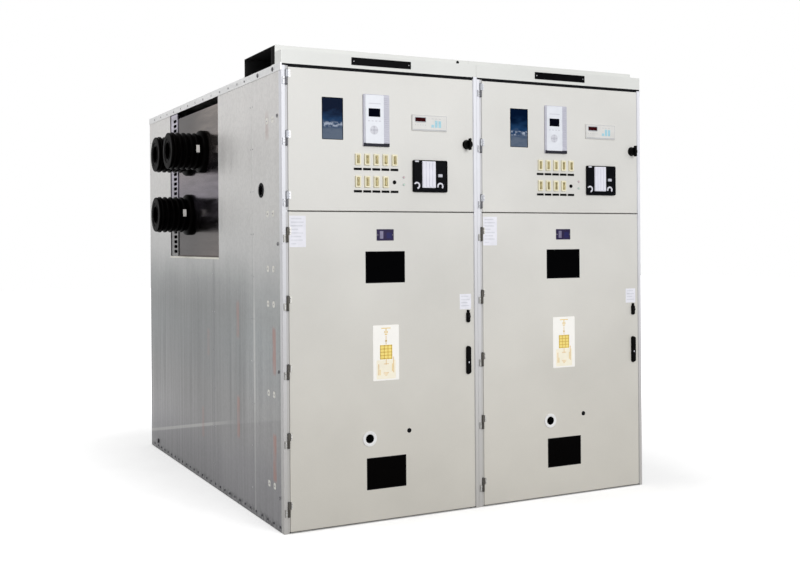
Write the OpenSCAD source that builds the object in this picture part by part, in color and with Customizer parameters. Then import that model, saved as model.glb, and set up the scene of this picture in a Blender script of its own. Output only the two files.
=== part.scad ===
// Metal-clad switchgear: two identical cubicles side by side.
// Origin at the centre of the footprint on the floor, front towards -Y, +X to
// the right when facing the doors, +Z up. Millimetres.

/* [Cubicles] */
// Width of one cubicle
unit_w = 1200; // [1150:10:1500]
// Depth of the cubicles, front to rear
depth = 2850; // [2600:10:3400]
// Height of the roof above the floor
roof_z = 2494; // [2480:2:2900]
// Gap between the two cubicles
unit_gap = 1; // [0.5:0.5:4]
// Thickness of the sheet metal
sheet_t = 2; // [1.5:0.5:4]

/* [Front frame] */
// Width of each upright post
post_w = 20; // [17:1:20]
// Width of the posts' flanges behind the doors
flange_w = 40; // [20:1:60]
// Thickness of those flanges
flange_t = 4; // [2:1:20]
// Depth of the rails behind the posts
rail_d = 40; // [20:1:80]
// Height of the rail over the upper door
lintel_h = 40; // [20:1:60]
// Height of the rail behind the split between the doors
mid_rail_h = 50; // [20:1:90]

/* [Base] */
// Height of the base frame
base_h = 60; // [40:1:120]
// Width of the base frame's members
base_member_w = 60; // [50:1:100]
// Thickness of the floor sheet in the base frame
floor_t = 3; // [2:1:6]
// Radius of the anchor holes
anchor_r = 8; // [5:1:12]
// Distance of the anchor holes from the cubicle's sides
anchor_inset_x = 33; // [25:1:45]
// Distance of the anchor holes from the cubicle's front and rear
anchor_inset_y = 120; // [100:1:300]

/* [Doors] */
// Height of the gap between the upper and the lower door
split_z = 1708; // [1700:1:1715]
// Gap between a door and what it closes against
door_gap = 6; // [5:1:12]
// Gap between the lower door and the floor
door_floor_gap = 8; // [6:1:60]
// Gap between the upper door and the header
header_gap = 12; // [8:1:30]
// Depth of the doors' folded edges
door_d = 30; // [20:1:40]

/* [Hinges] */
// Distance of the hinge axis from the cubicle's side
hinge_x = 28; // [28:1:40]
// Distance of the hinge axis in front of the doors
hinge_front = 4; // [3:1:8]
// Radius of the hinge knuckles
knuckle_r = 7; // [6:0.5:7]
// Radius of the hinge pins
hinge_pin_r = 4; // [3:0.5:4.5]
// Radial clearance of the pins and shafts in their bores
running_gap = 0.05; // [0.02:0.01:0.1]
// Length of one whole hinge
hinge_h = 76; // [50:1:92]
// Distance of the end hinges from the upper door's ends
upper_hinge_inset = 62; // [50:1:150]
// Distance of the end hinges from the lower door's ends
lower_hinge_inset = 122; // [60:1:250]

/* [Windows] */
// Width of the instrument window
instrument_window_w = 122; // [80:1:160]
// Height of the instrument window
instrument_window_h = 225; // [150:1:300]
// Distance of the instrument window's centre from the cubicle's side
instrument_window_x = 293; // [200:1:320]
// Width of the viewing windows in the lower door
view_w = 240; // [150:1:300]
// Height of the viewing windows in the lower door
view_h = 172; // [120:1:220]
// Height of the upper viewing window's centre
view_high_z = 1402; // [1300:1:1480]
// Height of the lower viewing window's centre
view_low_z = 267; // [180:1:300]
// Thickness of the window panes
pane_t = 4; // [3:1:8]

/* [Instruments] */
// Height of the centre line of the window, relay and display
instrument_z = 2210; // [2200:1:2230]
// Distance of the relay's centre from the cubicle's side
relay_x = 553; // [530:1:570]
// Width of the relay
relay_w = 160; // [120:1:192]
// Height of the relay
relay_h = 286; // [220:1:292]
// Distance of the display's and the test block's centre from the cubicle's side
display_x = 888; // [870:1:940]
// Width of the status display
display_w = 226; // [160:1:272]
// Height of the status display
display_h = 90; // [60:1:110]
// Width of the test block
test_w = 220; // [160:1:264]
// Height of the test block
test_h = 180; // [140:1:200]
// Height of the test block's centre
test_z = 1910; // [1880:1:1940]
// Distance between neighbouring link plates
link_pitch = 56; // [50:1:60]
// Height of the upper row of link plates
link_high_z = 1994; // [1985:1:2010]
// Height of the lower row of link plates
link_low_z = 1872; // [1850:1:1880]

/* [Lower door fittings] */
// Width of the mimic panel
mimic_w = 160; // [100:1:220]
// Height of the mimic panel
mimic_h = 306; // [200:1:390]
// Height of the mimic panel's centre
mimic_z = 928; // [850:1:1000]
// Distance of the crank hole from the cubicle's side
crank_x = 502; // [450:1:560]
// Height of the crank hole
crank_z = 461; // [440:1:520]
// Radius of the crank hole
crank_r = 24; // [15:1:30]
// Outer radius of the ring round the crank hole
crank_ring_r = 42; // [36:1:60]

/* [Handles] */
// Distance of the handles from the door's free edge
handle_inset = 42; // [36:1:60]
// Height of the latch knob on the upper door
knob_z = 2098; // [2080:1:2110]
// Radius of the latch knob's body
knob_r = 27; // [15:1:28]
// Length of the latch knob's wing
knob_wing_l = 68; // [50:1:80]
// Height of the lever handle's pivot
lever_pivot_z = 926; // [700:1:1010]
// Length of the lever handle below its pivot
lever_l = 136; // [90:1:170]
// Height of the lock's centre
lock_z = 1109; // [1090:1:1250]
// Radius of the shafts through the doors
shaft_r = 6; // [4:1:8]

/* [Side panels] */
// Depth of the front side panel
front_panel_d = 480; // [400:10:700]
// Depth of the front and middle side panels together, below the busbar opening
middle_panel_end = 1225; // [1150:5:1470]
// Gap between neighbouring panels
seam = 1.5; // [1:0.5:4]
// Distance of the rear covers behind the side panels' rear edges
rear_inset = 8; // [2:1:20]
// Gap between the side panels and the floor
side_floor_gap = 4; // [2:1:20]
// Height of the angles along the roof's side edges
edge_angle_h = 40; // [25:1:60]
// Width of those angles on top of the roof
edge_angle_w = 30; // [20:1:60]
// Thickness of those angles
edge_angle_t = 3; // [2:1:5]
// Radius of the cable grommet's bore
grommet_r = 28; // [20:1:40]
// Distance of the grommet from the front
grommet_y = 325; // [200:1:340]
// Height of the grommet
grommet_z = 1832; // [1760:1:2200]

/* [Busbar opening] */
// Distance of the busbar opening's front edge from the front
open_y0 = 1112; // [1000:2:1140]
// Length of the busbar opening
open_d = 1138; // [1100:2:1414]
// Height of the busbar opening's sill
open_z0 = 1452; // [1300:2:1500]
// Depth of the mounting plate inside the opening
plate_recess = 10; // [10:1:60]
// Thickness of the mounting plate
plate_t = 3; // [2:1:6]
// Gap over the mounting plate
plate_top_gap = 40; // [10:1:80]
// Width of the perforated post at the opening's rear edge
perf_post_w = 180; // [120:1:220]
// Vertical distance between the post's slots
perf_pitch = 34; // [30:1:90]

/* [Bushings] */
// Radius of the bushings over their sheds
shed_r = 119; // [112:1:130]
// Radius of the bushings between their sheds
shed_root_r = 109; // [90:1:111]
// Distance between neighbouring sheds
shed_pitch = 36; // [24:1:50]
// Number of sheds on a bushing
shed_count = 5; // [3:1:7]
// Radius of the collar against the mounting plate
collar_r = 138; // [131:1:150]
// Length of the collar against the mounting plate
collar_l = 36; // [20:1:60]
// Radius of the bushing's outer end
nose_r = 115; // [80:1:119]
// Length of the outer end beyond the last shed
nose_l = 18; // [14:1:40]
// Radius of the busbar passage
passage_r = 55; // [30:1:70]
// Distance of the front upper bushing from the front
bushing_front_y = 1472; // [1310:1:1475]
// Distance of the two rear bushings from the front
bushing_rear_y = 1795; // [1780:1:1860]
// Height of the upper bushings
bushing_high_z = 2137; // [2080:1:2200]
// Height of the lower bushing
bushing_low_z = 1735; // [1680:1:1750]

/* [Header] */
// Height of the header above the roof
header_h = 106; // [80:1:160]
// Distance of the upper fascia behind the lower one
header_step = 90; // [60:1:120]
// Height of the lower fascia above the roof
step_h = 68; // [50:1:75]
// Depth of the upper fascia's folded edges
header_return = 57; // [30:1:90]
// Distance of the wiring trunk's rear wall from the front
trunk_end = 594; // [450:1:720]
// Width of a name plate on the header
name_plate_w = 366; // [250:1:450]
// Height of a name plate on the header
name_plate_h = 42; // [30:1:48]
// Distance of a name plate's centre from the cubicle's side
name_plate_x = 590; // [500:1:700]

/* [Hidden] */
$fn = 64;

LEFT = 0;
RIGHT = 1;
UNITS = [LEFT, RIGHT];
cut = 1;                                   // how far a cutter runs past a face
seat_gap = 0.3;                            // a moving piece from its seat
bezel_gap = 0.5;                           // an instrument's body from its cut-out

// Planes of one cubicle, from its own front left floor corner
total_w = 2 * unit_w;
shell_x0 = unit_gap / 2;                   // outer face of the left side
shell_x1 = unit_w - unit_gap / 2;          // outer face of the right side
inner_x0 = shell_x0 + sheet_t;
inner_x1 = shell_x1 - sheet_t;
side_top = roof_z - sheet_t;
header_top = roof_z + header_h;
rear_y0 = depth - rear_inset - sheet_t;     // inner face of the rear covers

// Doors
door_x0 = hinge_x + knuckle_r + 1;         // hinge edge of a door
door_x1 = unit_w - post_w - door_gap;      // free edge of a door
door_mid_x = (door_x0 + door_x1) / 2;
lower_z0 = door_floor_gap;
lower_z1 = split_z - door_gap / 2;
upper_z0 = split_z + door_gap / 2;
upper_z1 = side_top - header_gap;
flange_y0 = door_d + door_gap;             // front of the posts' flanges
post_d = flange_y0 + flange_t;
rail_y1 = post_d + rail_d;
hinge_side_gap = 5;                        // hinge-side post from the door
rebate_d = 4;                              // that post's rebate for the knuckles
leaf_t = 3;                                // hinge leaves
leaf_on_post = 14;
leaf_on_door = 12;
upper_hinge_count = 3;
lower_hinge_count = 5;

// Instruments on the upper doors
bezel_margin = 10;                         // bezel beyond the body behind it
relay_proud = 14;
relay_back = 130;
display_proud = 8;
display_back = 60;
test_proud = 22;
test_back = 90;
link_count = 5;
link_w = 34;
link_h = 64;
link_proud = 14;
button_r = 9;
tag_w = 48;
tag_h = 13;
tag_t = 2;
tag_drop = 53;                             // label strip's centre below its link's
pane_bead = 8;                             // pane's overlap round its cut-out

// Fittings on the lower doors
mimic_t = 3;
ring_t = 5;
ring_seat = 3;                             // door's hole beyond the crank hole
lock_r = 13;
lock_h = 76;
lock_w = 14;
lock_t = 18;

// Handles
handle_x = door_x1 - handle_inset;
shaft_bore_r = shaft_r + running_gap;
knob_proud = 34;
wing_t = 12;
wing_d = 16;
nut_r = 13;
nut_t = 6;
base_plate_margin = 4;                     // base plate beyond the lever's outline
base_plate_t = 5;
lever_w = 20;
lever_t = 15;

// Busbar opening, grommet and bushings
open_y1 = open_y0 + open_d;
open_z1 = roof_z - edge_angle_h;
plate_x1 = plate_recess + plate_t;
plate_y1 = open_y1 - perf_post_w;
plate_z1 = open_z1 - plate_top_gap;
perf_post_x0 = plate_recess / 2;
perf_slot_r = 11;                          // half height of a slot, and its ends' radius
perf_slot_w = 84;
perf_slot_y = plate_y1 + 64;
grommet_wall = 5;
grommet_lip = 8;
grommet_lip_t = 3;
bushing_stub_l = 60;                       // bushing behind its mounting plate
plate_hole_r = shed_root_r - 2;
bushing_stub_r = plate_hole_r - bezel_gap;
nose_round = 4;
shed_zone_l = shed_count * shed_pitch;
bushing_l = collar_l + shed_zone_l + nose_l;
bushing_places = [
    [bushing_front_y, bushing_high_z],
    [bushing_rear_y, bushing_high_z],
    [bushing_rear_y, bushing_low_z]
];

// Heights of evenly spread hinges on a door from z0 to z1
function hinge_heights(z0, z1, inset, count) =
    [for (i = [0:count - 1]) z0 + inset + i * (z1 - z0 - 2 * inset) / (count - 1)];

upper_hinges = hinge_heights(upper_z0, upper_z1, upper_hinge_inset, upper_hinge_count);
lower_hinges = hinge_heights(lower_z0, lower_z1, lower_hinge_inset, lower_hinge_count);
link_xs = [for (i = [0:link_count - 1]) relay_x + (i - (link_count - 1) / 2) * link_pitch];

// Outline of a bushing: radius against distance from its mounting plate
function shed_outline(start) = [
    [shed_root_r, start],
    [shed_root_r, start + 0.3 * shed_pitch],
    [shed_r, start + 0.5 * shed_pitch],
    [shed_r, start + 0.95 * shed_pitch]
];
bushing_outline = [
    [passage_r, -bushing_stub_l],
    [bushing_stub_r, -bushing_stub_l],
    [bushing_stub_r, 0],
    [collar_r, 0],
    [collar_r, collar_l],
    for (i = [0:shed_count - 1]) each shed_outline(collar_l + i * shed_pitch),
    [shed_root_r, collar_l + shed_zone_l],
    [nose_r, bushing_l - nose_l / 2],
    [nose_r, bushing_l - nose_round],
    [nose_r - nose_round, bushing_l],
    [passage_r, bushing_l]
];

// Moves a cubicle's own frame (its front left floor corner) into place
module at_unit(u) {
    translate([-total_w / 2 + u * unit_w, -depth / 2, 0]) children();
}

// Box between two corners
module span(low, high) {
    translate(low) cube(high - low);
}

// Box on or through a door: centred on x and z, from y0 to y1
module slab(x, z, w, h, y0, y1) {
    span([x - w / 2, y0, z - h / 2], [x + w / 2, y1, z + h / 2]);
}

// Rod along Y
module rod_y(x, z, y0, y1, r) {
    translate([x, y0, z]) rotate([-90, 0, 0]) cylinder(r = r, h = y1 - y0);
}

// Rod along X
module rod_x(y, z, x0, x1, r) {
    translate([x0, y, z]) rotate([0, 90, 0]) cylinder(r = r, h = x1 - x0);
}

// ------------------------------------------------------------ base and frame

module base_frames() {
    m = base_member_w;
    y1 = rear_y0;
    color([0.24, 0.25, 0.26]) for (u = UNITS) at_unit(u) difference() {
        span([inner_x0, post_d, 0], [inner_x1, y1, base_h]);
        span([inner_x0 + m, post_d + m, -cut], [inner_x1 - m, y1 - m, base_h - floor_t]);
        for (x = [anchor_inset_x, unit_w - anchor_inset_x])
            for (y = [anchor_inset_y, depth - anchor_inset_y])
                translate([x, y, -cut]) cylinder(r = anchor_r, h = base_h + 2 * cut);
    }
}

// Left post of a cubicle, with the flange that its doors close against
module corner_post() {
    span([shell_x0, 0, 0], [post_w, post_d, side_top]);
    span([shell_x0, flange_y0, 0], [post_w + flange_w, post_d, side_top]);
}

module corner_posts() {
    color([0.88, 0.88, 0.86]) for (u = UNITS) at_unit(u) {
        corner_post();
        span([shell_x0, rebate_d, 0], [door_x0 - hinge_side_gap, post_d, side_top]);
        translate([unit_w, 0, 0]) mirror([1, 0, 0]) corner_post();
    }
}

module frame_rail(z0, z1) {
    span([inner_x0, post_d, z0], [inner_x1, rail_y1, z1]);
}

module frame_rails() {
    color([0.80, 0.80, 0.78]) for (u = UNITS) at_unit(u) {
        frame_rail(side_top - lintel_h, side_top);
        frame_rail(split_z - mid_rail_h / 2, split_z + mid_rail_h / 2);
    }
}

// Lower half of a hinge: its leaf on the post and the pin that stands up from it
module fixed_hinge_half(z) {
    y = -hinge_front;
    z0 = z - hinge_h / 2;
    translate([hinge_x, y, z0]) {
        cylinder(r = knuckle_r, h = hinge_h / 2);
        cylinder(r = hinge_pin_r, h = hinge_h - knuckle_r);
    }
    span([post_w - leaf_on_post, y - leaf_t, z0], [hinge_x, 0, z]);
}

// Upper half of a hinge: its bore over the pin and its leaf on the door
module moving_hinge_half(z) {
    y = -hinge_front;
    z0 = z + seat_gap;
    z1 = z + hinge_h / 2;
    difference() {
        union() {
            translate([hinge_x, y, z0]) cylinder(r = knuckle_r, h = z1 - z0);
            span([hinge_x, y - leaf_t, z0], [door_x0 + leaf_on_door, 0, z1]);
        }
        translate([hinge_x, y, z - cut])
            cylinder(r = hinge_pin_r + running_gap, h = hinge_h / 2 - knuckle_r + seat_gap + cut);
    }
}

module frame_hinges() {
    color([0.45, 0.45, 0.45]) for (u = UNITS) at_unit(u)
        for (z = concat(upper_hinges, lower_hinges)) fixed_hinge_half(z);
}

// ------------------------------------------------------------ panels

module left_front_panel() {
    x1 = inner_x0;
    color([0.72, 0.72, 0.72]) at_unit(LEFT) difference() {
        span([shell_x0, post_d, side_floor_gap], [x1, front_panel_d, side_top]);
        rod_x(grommet_y, grommet_z, shell_x0 - cut, x1 + cut, grommet_r + grommet_wall);
    }
}

module left_middle_panel() {
    y0 = front_panel_d + seam;
    color([0.70, 0.70, 0.70]) at_unit(LEFT) {
        span([shell_x0, y0, side_floor_gap], [inner_x0, open_y0, side_top]);
        span([shell_x0, y0, side_floor_gap], [inner_x0, middle_panel_end, open_z0]);
    }
}

module left_rear_panel() {
    y0 = middle_panel_end + seam;
    color([0.68, 0.68, 0.69]) at_unit(LEFT) {
        span([shell_x0, y0, side_floor_gap], [inner_x0, depth, open_z0]);
        span([shell_x0, open_y1, side_floor_gap], [inner_x0, depth, side_top]);
    }
}

module right_side_panels() {
    y1 = front_panel_d;
    y2 = middle_panel_end;
    color([0.70, 0.70, 0.70]) at_unit(RIGHT) {
        span([inner_x1, post_d, side_floor_gap], [shell_x1, y1, side_top]);
        span([inner_x1, y1 + seam, side_floor_gap], [shell_x1, y2, side_top]);
        span([inner_x1, y2 + seam, side_floor_gap], [shell_x1, depth, side_top]);
    }
}

module dividing_walls() {
    color([0.70, 0.70, 0.70]) {
        at_unit(LEFT) span([inner_x1, post_d, side_floor_gap], [shell_x1, depth, side_top]);
        at_unit(RIGHT) span([shell_x0, post_d, side_floor_gap], [inner_x0, depth, side_top]);
    }
}

module rear_covers() {
    y1 = rear_y0 + sheet_t;
    color([0.68, 0.68, 0.69]) for (u = UNITS) at_unit(u) {
        span([inner_x0, rear_y0, side_floor_gap], [inner_x1, y1, split_z - seam / 2]);
        span([inner_x0, rear_y0, split_z + seam / 2], [inner_x1, y1, side_top]);
    }
}

module roof_panels() {
    starts = [0, front_panel_d + seam, middle_panel_end + seam];
    ends = [front_panel_d, middle_panel_end, depth];
    color([0.74, 0.74, 0.75]) for (u = UNITS) at_unit(u)
        for (i = [0:2]) span([shell_x0, starts[i], side_top], [shell_x1, ends[i], roof_z]);
}

// Angle along one side edge of the roof; its flat leg starts behind the wiring trunk
module roof_edge_angle() {
    span([-edge_angle_t, 0, open_z1], [shell_x0, depth, roof_z]);
    span([-edge_angle_t, trunk_end, roof_z], [edge_angle_w, depth, roof_z + edge_angle_t]);
}

module roof_edge_angles() {
    color([0.82, 0.82, 0.82]) {
        at_unit(LEFT) roof_edge_angle();
        at_unit(RIGHT) translate([unit_w, 0, 0]) mirror([1, 0, 0]) roof_edge_angle();
    }
}

// Floor and back of the compartment behind each upper door
module instrument_compartments() {
    y1 = front_panel_d;
    color([0.78, 0.78, 0.78]) for (u = UNITS) at_unit(u) {
        span([inner_x0, rail_y1, split_z], [inner_x1, y1, split_z + sheet_t]);
        span([inner_x0, y1 - sheet_t, split_z], [inner_x1, y1, side_top]);
    }
}

// Back of the compartment behind each lower door
module breaker_back_walls() {
    y1 = open_y0;
    color([0.74, 0.74, 0.74]) for (u = UNITS) at_unit(u)
        span([inner_x0, y1 - sheet_t, base_h], [inner_x1, y1, side_top]);
}

// ------------------------------------------------------------ header

// Folded fascia, open at the back and the bottom
module fascia(y0, y1, z1) {
    t = sheet_t;
    difference() {
        span([shell_x0, y0, roof_z], [shell_x1, y1, z1]);
        span([shell_x0 + t, y0 + t, roof_z - cut], [shell_x1 - t, y1 + cut, z1 - t]);
    }
}

module header_lower_fascias() {
    color([0.90, 0.90, 0.88]) for (u = UNITS) at_unit(u) fascia(0, header_step, roof_z + step_h);
}

module header_upper_fascias() {
    color([0.90, 0.90, 0.88]) for (u = UNITS) at_unit(u)
        fascia(header_step, header_step + header_return, header_top);
}

// Sheet duct across both cubicles, open at its two ends
module wiring_trunk() {
    t = sheet_t;
    y0 = header_step + header_return;
    y1 = trunk_end;
    color([0.16, 0.16, 0.17]) translate([-total_w / 2, -depth / 2, 0]) difference() {
        span([0, y0, roof_z], [total_w, y1, header_top]);
        span([-cut, y0 + t, roof_z + t], [total_w + cut, y1 - t, header_top - t]);
    }
}

module name_plates() {
    z = roof_z + step_h / 2;
    color([0.06, 0.06, 0.07]) for (u = UNITS) at_unit(u)
        slab(name_plate_x, z, name_plate_w, name_plate_h, -sheet_t, 0);
}

// ------------------------------------------------------------ busbar opening

module bushing_plate() {
    color([0.62, 0.60, 0.57]) at_unit(LEFT) difference() {
        span([plate_recess, open_y0, open_z0], [plate_x1, plate_y1, plate_z1]);
        for (p = bushing_places) rod_x(p[0], p[1], plate_recess - cut, plate_x1 + cut, plate_hole_r);
    }
}

// Round-ended slot across the perforated post
module perf_slot(z, x0, x1) {
    reach = perf_slot_w / 2 - perf_slot_r;
    for (side = [-1, 1]) rod_x(perf_slot_y + side * reach, z, x0, x1, perf_slot_r);
    span([x0, perf_slot_y - reach, z - perf_slot_r], [x1, perf_slot_y + reach, z + perf_slot_r]);
}

module perforated_post() {
    x0 = perf_post_x0;
    x1 = perf_post_x0 + sheet_t;
    color([0.75, 0.75, 0.74]) at_unit(LEFT) difference() {
        span([x0, plate_y1, open_z0], [plate_x1, open_y1, open_z1]);
        span([x1, plate_y1 + sheet_t, open_z0 - cut], [plate_x1 + cut, open_y1 + cut, open_z1 + cut]);
        for (z = [open_z0 + perf_pitch:perf_pitch:open_z1 - perf_pitch]) perf_slot(z, x0 - cut, x1 + cut);
    }
}

module busbar_bushings() {
    color([0.05, 0.04, 0.04]) at_unit(LEFT) for (p = bushing_places)
        translate([plate_recess, p[0], p[1]]) rotate([0, -90, 0])
            rotate_extrude($fn = 96) polygon(bushing_outline);
}

module cable_grommet() {
    r = grommet_r + grommet_wall;
    x0 = shell_x0 - grommet_lip_t;
    x1 = inner_x0 + grommet_lip_t;
    color([0.04, 0.04, 0.04]) at_unit(LEFT) difference() {
        union() {
            rod_x(grommet_y, grommet_z, x0, shell_x0, r + grommet_lip);
            rod_x(grommet_y, grommet_z, x0, x1, r);
        }
        rod_x(grommet_y, grommet_z, x0 - cut, x1 + cut, grommet_r);
    }
}

// ------------------------------------------------------------ doors

// Folded sheet door, open at the back
module door_tray(z0, z1) {
    t = sheet_t;
    difference() {
        span([door_x0, 0, z0], [door_x1, door_d, z1]);
        span([door_x0 + t, t, z0 + t], [door_x1 - t, door_d + cut, z1 - t]);
    }
}

// Cutter through a door's skin
module door_cut(x, z, w, h) {
    slab(x, z, w, h, -cut, sheet_t + cut);
}

// Cutter for the body of an instrument with a bezel of width w and height h
module body_cut(x, z, w, h) {
    m = bezel_margin - bezel_gap;
    door_cut(x, z, w - 2 * m, h - 2 * m);
}

// Panel instrument: a bezel on the door and a body through it
module instrument(x, z, w, h, proud, back) {
    m = bezel_margin;
    slab(x, z, w, h, -proud, 0);
    slab(x, z, w - 2 * m, h - 2 * m, -proud, back);
}

// Pane held behind its cut-out
module pane(x, z, w, h) {
    slab(x, z, w + 2 * pane_bead, h + 2 * pane_bead, sheet_t, sheet_t + pane_t);
}

// Shaft through a door, with a nut behind the skin
module door_shaft(z, y0) {
    y1 = sheet_t + nut_t;
    rod_y(handle_x, z, y0, y1, shaft_r);
    rod_y(handle_x, z, sheet_t + seat_gap, y1, nut_r);
}

module upper_door() {
    color([0.85, 0.84, 0.81]) difference() {
        door_tray(upper_z0, upper_z1);
        door_cut(instrument_window_x, instrument_z, instrument_window_w, instrument_window_h);
        body_cut(relay_x, instrument_z, relay_w, relay_h);
        body_cut(display_x, instrument_z, display_w, display_h);
        body_cut(display_x, test_z, test_w, test_h);
        rod_y(handle_x, knob_z, -cut, sheet_t + cut, shaft_bore_r);
    }
}

module upper_door_hinges() {
    color([0.45, 0.45, 0.45]) for (z = upper_hinges) moving_hinge_half(z);
}

module instrument_window() {
    w = instrument_window_w;
    color([0.08, 0.14, 0.28]) pane(instrument_window_x, instrument_z, w, instrument_window_h);
}

module relay() {
    color([0.87, 0.90, 0.91])
        instrument(relay_x, instrument_z, relay_w, relay_h, relay_proud, relay_back);
}

module status_display() {
    w = display_w;
    color([0.85, 0.85, 0.83])
        instrument(display_x, instrument_z, w, display_h, display_proud, display_back);
}

module test_block() {
    color([0.05, 0.05, 0.07]) instrument(display_x, test_z, test_w, test_h, test_proud, test_back);
}

module link_plate(x, z) {
    slab(x, z, link_w, link_h, -link_proud, 0);
}

module link_tag(x, z) {
    slab(x, z - tag_drop, tag_w, tag_h, -tag_t, 0);
}

// Two rows of link plates with label strips; the lower row ends in a push button
module link_plates() {
    last = link_count - 1;
    color([0.86, 0.80, 0.55]) {
        for (x = link_xs) {
            link_plate(x, link_high_z);
            link_tag(x, link_high_z);
            link_tag(x, link_low_z);
        }
        for (i = [0:last - 1]) link_plate(link_xs[i], link_low_z);
        rod_y(link_xs[last], link_low_z, -link_proud, 0, button_r);
    }
}

// Round knob with a wing, on a shaft through the door
module latch_knob() {
    color([0.04, 0.05, 0.05]) {
        rod_y(handle_x, knob_z, -knob_proud, -seat_gap, knob_r);
        slab(handle_x, knob_z, wing_t, knob_wing_l, -knob_proud - wing_d, -knob_proud + cut);
        door_shaft(knob_z, -knob_proud);
    }
}

module lower_door() {
    color([0.84, 0.83, 0.80]) difference() {
        door_tray(lower_z0, lower_z1);
        for (z = [view_high_z, view_low_z]) door_cut(door_mid_x, z, view_w, view_h);
        rod_y(crank_x, crank_z, -cut, sheet_t + cut, crank_r + ring_seat);
        rod_y(handle_x, lever_pivot_z, -cut, sheet_t + cut, shaft_bore_r);
    }
}

module lower_door_hinges() {
    color([0.45, 0.45, 0.45]) for (z = lower_hinges) moving_hinge_half(z);
}

module viewing_windows() {
    color([0.02, 0.02, 0.02])
        for (z = [view_high_z, view_low_z]) pane(door_mid_x, z, view_w, view_h);
}

module mimic_panel() {
    color([0.93, 0.92, 0.88]) slab(door_mid_x, mimic_z, mimic_w, mimic_h, -mimic_t, 0);
}

module crank_ring() {
    color([0.90, 0.90, 0.88]) difference() {
        rod_y(crank_x, crank_z, -ring_t, 0, crank_ring_r);
        rod_y(crank_x, crank_z, -ring_t - cut, cut, crank_r);
    }
}

// Upright bar with round ends, from height z0 to z1
module round_bar(z0, z1, y0, y1, r) {
    rod_y(handle_x, z0, y0, y1, r);
    rod_y(handle_x, z1, y0, y1, r);
    span([handle_x - r, y0, z0], [handle_x + r, y1, z1]);
}

// Lock on the door, and the base plate behind the lever handle
module lock_set() {
    r = lever_w / 2 + base_plate_margin;
    color([0.05, 0.05, 0.05]) {
        rod_y(handle_x, lock_z, -lock_t, 0, lock_r);
        slab(handle_x, lock_z, lock_w, lock_h, -lock_t, 0);
        difference() {
            round_bar(lever_pivot_z - lever_l, lever_pivot_z, -base_plate_t, 0, r);
            rod_y(handle_x, lever_pivot_z, -base_plate_t - cut, cut, shaft_bore_r);
        }
    }
}

// Lever that hangs from its pivot in front of its base plate
module lever_handle() {
    y1 = -base_plate_t - seat_gap;
    y0 = y1 - lever_t;
    color([0.04, 0.04, 0.04]) {
        round_bar(lever_pivot_z - lever_l, lever_pivot_z, y0, y1, lever_w / 2);
        door_shaft(lever_pivot_z, y0);
    }
}

base_frames();
corner_posts();
frame_rails();
frame_hinges();
left_front_panel();
left_middle_panel();
left_rear_panel();
right_side_panels();
dividing_walls();
rear_covers();
roof_panels();
roof_edge_angles();
instrument_compartments();
breaker_back_walls();
header_lower_fascias();
header_upper_fascias();
wiring_trunk();
name_plates();
bushing_plate();
perforated_post();
busbar_bushings();
cable_grommet();
at_unit(LEFT) upper_door();  // left_upper_door
at_unit(LEFT) upper_door_hinges();  // left_upper_hinges
at_unit(LEFT) instrument_window();  // left_instrument_window
at_unit(LEFT) relay();  // left_relay
at_unit(LEFT) status_display();  // left_status_display
at_unit(LEFT) link_plates();  // left_link_plates
at_unit(LEFT) test_block();  // left_test_block
at_unit(LEFT) latch_knob();  // left_latch_knob
at_unit(LEFT) lower_door();  // left_lower_door
at_unit(LEFT) lower_door_hinges();  // left_lower_hinges
at_unit(LEFT) viewing_windows();  // left_viewing_windows
at_unit(LEFT) mimic_panel();  // left_mimic_panel
at_unit(LEFT) crank_ring();  // left_crank_ring
at_unit(LEFT) lock_set();  // left_lock_set
at_unit(LEFT) lever_handle();  // left_lever_handle
at_unit(RIGHT) upper_door();  // right_upper_door
at_unit(RIGHT) upper_door_hinges();  // right_upper_hinges
at_unit(RIGHT) instrument_window();  // right_instrument_window
at_unit(RIGHT) relay();  // right_relay
at_unit(RIGHT) status_display();  // right_status_display
at_unit(RIGHT) link_plates();  // right_link_plates
at_unit(RIGHT) test_block();  // right_test_block
at_unit(RIGHT) latch_knob();  // right_latch_knob
at_unit(RIGHT) lower_door();  // right_lower_door
at_unit(RIGHT) lower_door_hinges();  // right_lower_hinges
at_unit(RIGHT) viewing_windows();  // right_viewing_windows
at_unit(RIGHT) mimic_panel();  // right_mimic_panel
at_unit(RIGHT) crank_ring();  // right_crank_ring
at_unit(RIGHT) lock_set();  // right_lock_set
at_unit(RIGHT) lever_handle();  // right_lever_handle
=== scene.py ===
"""Looks of a metal-clad switchgear, two cubicles side by side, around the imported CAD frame.

Row frame: metres, X to the right when facing the doors, front towards -Y, +Z up. Shapes are
given in millimetres on a Face, measured from a cubicle's own corner.
"""

import math
import random
from collections import namedtuple

import bmesh
import bpy
from mathutils import Matrix, Vector

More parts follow.
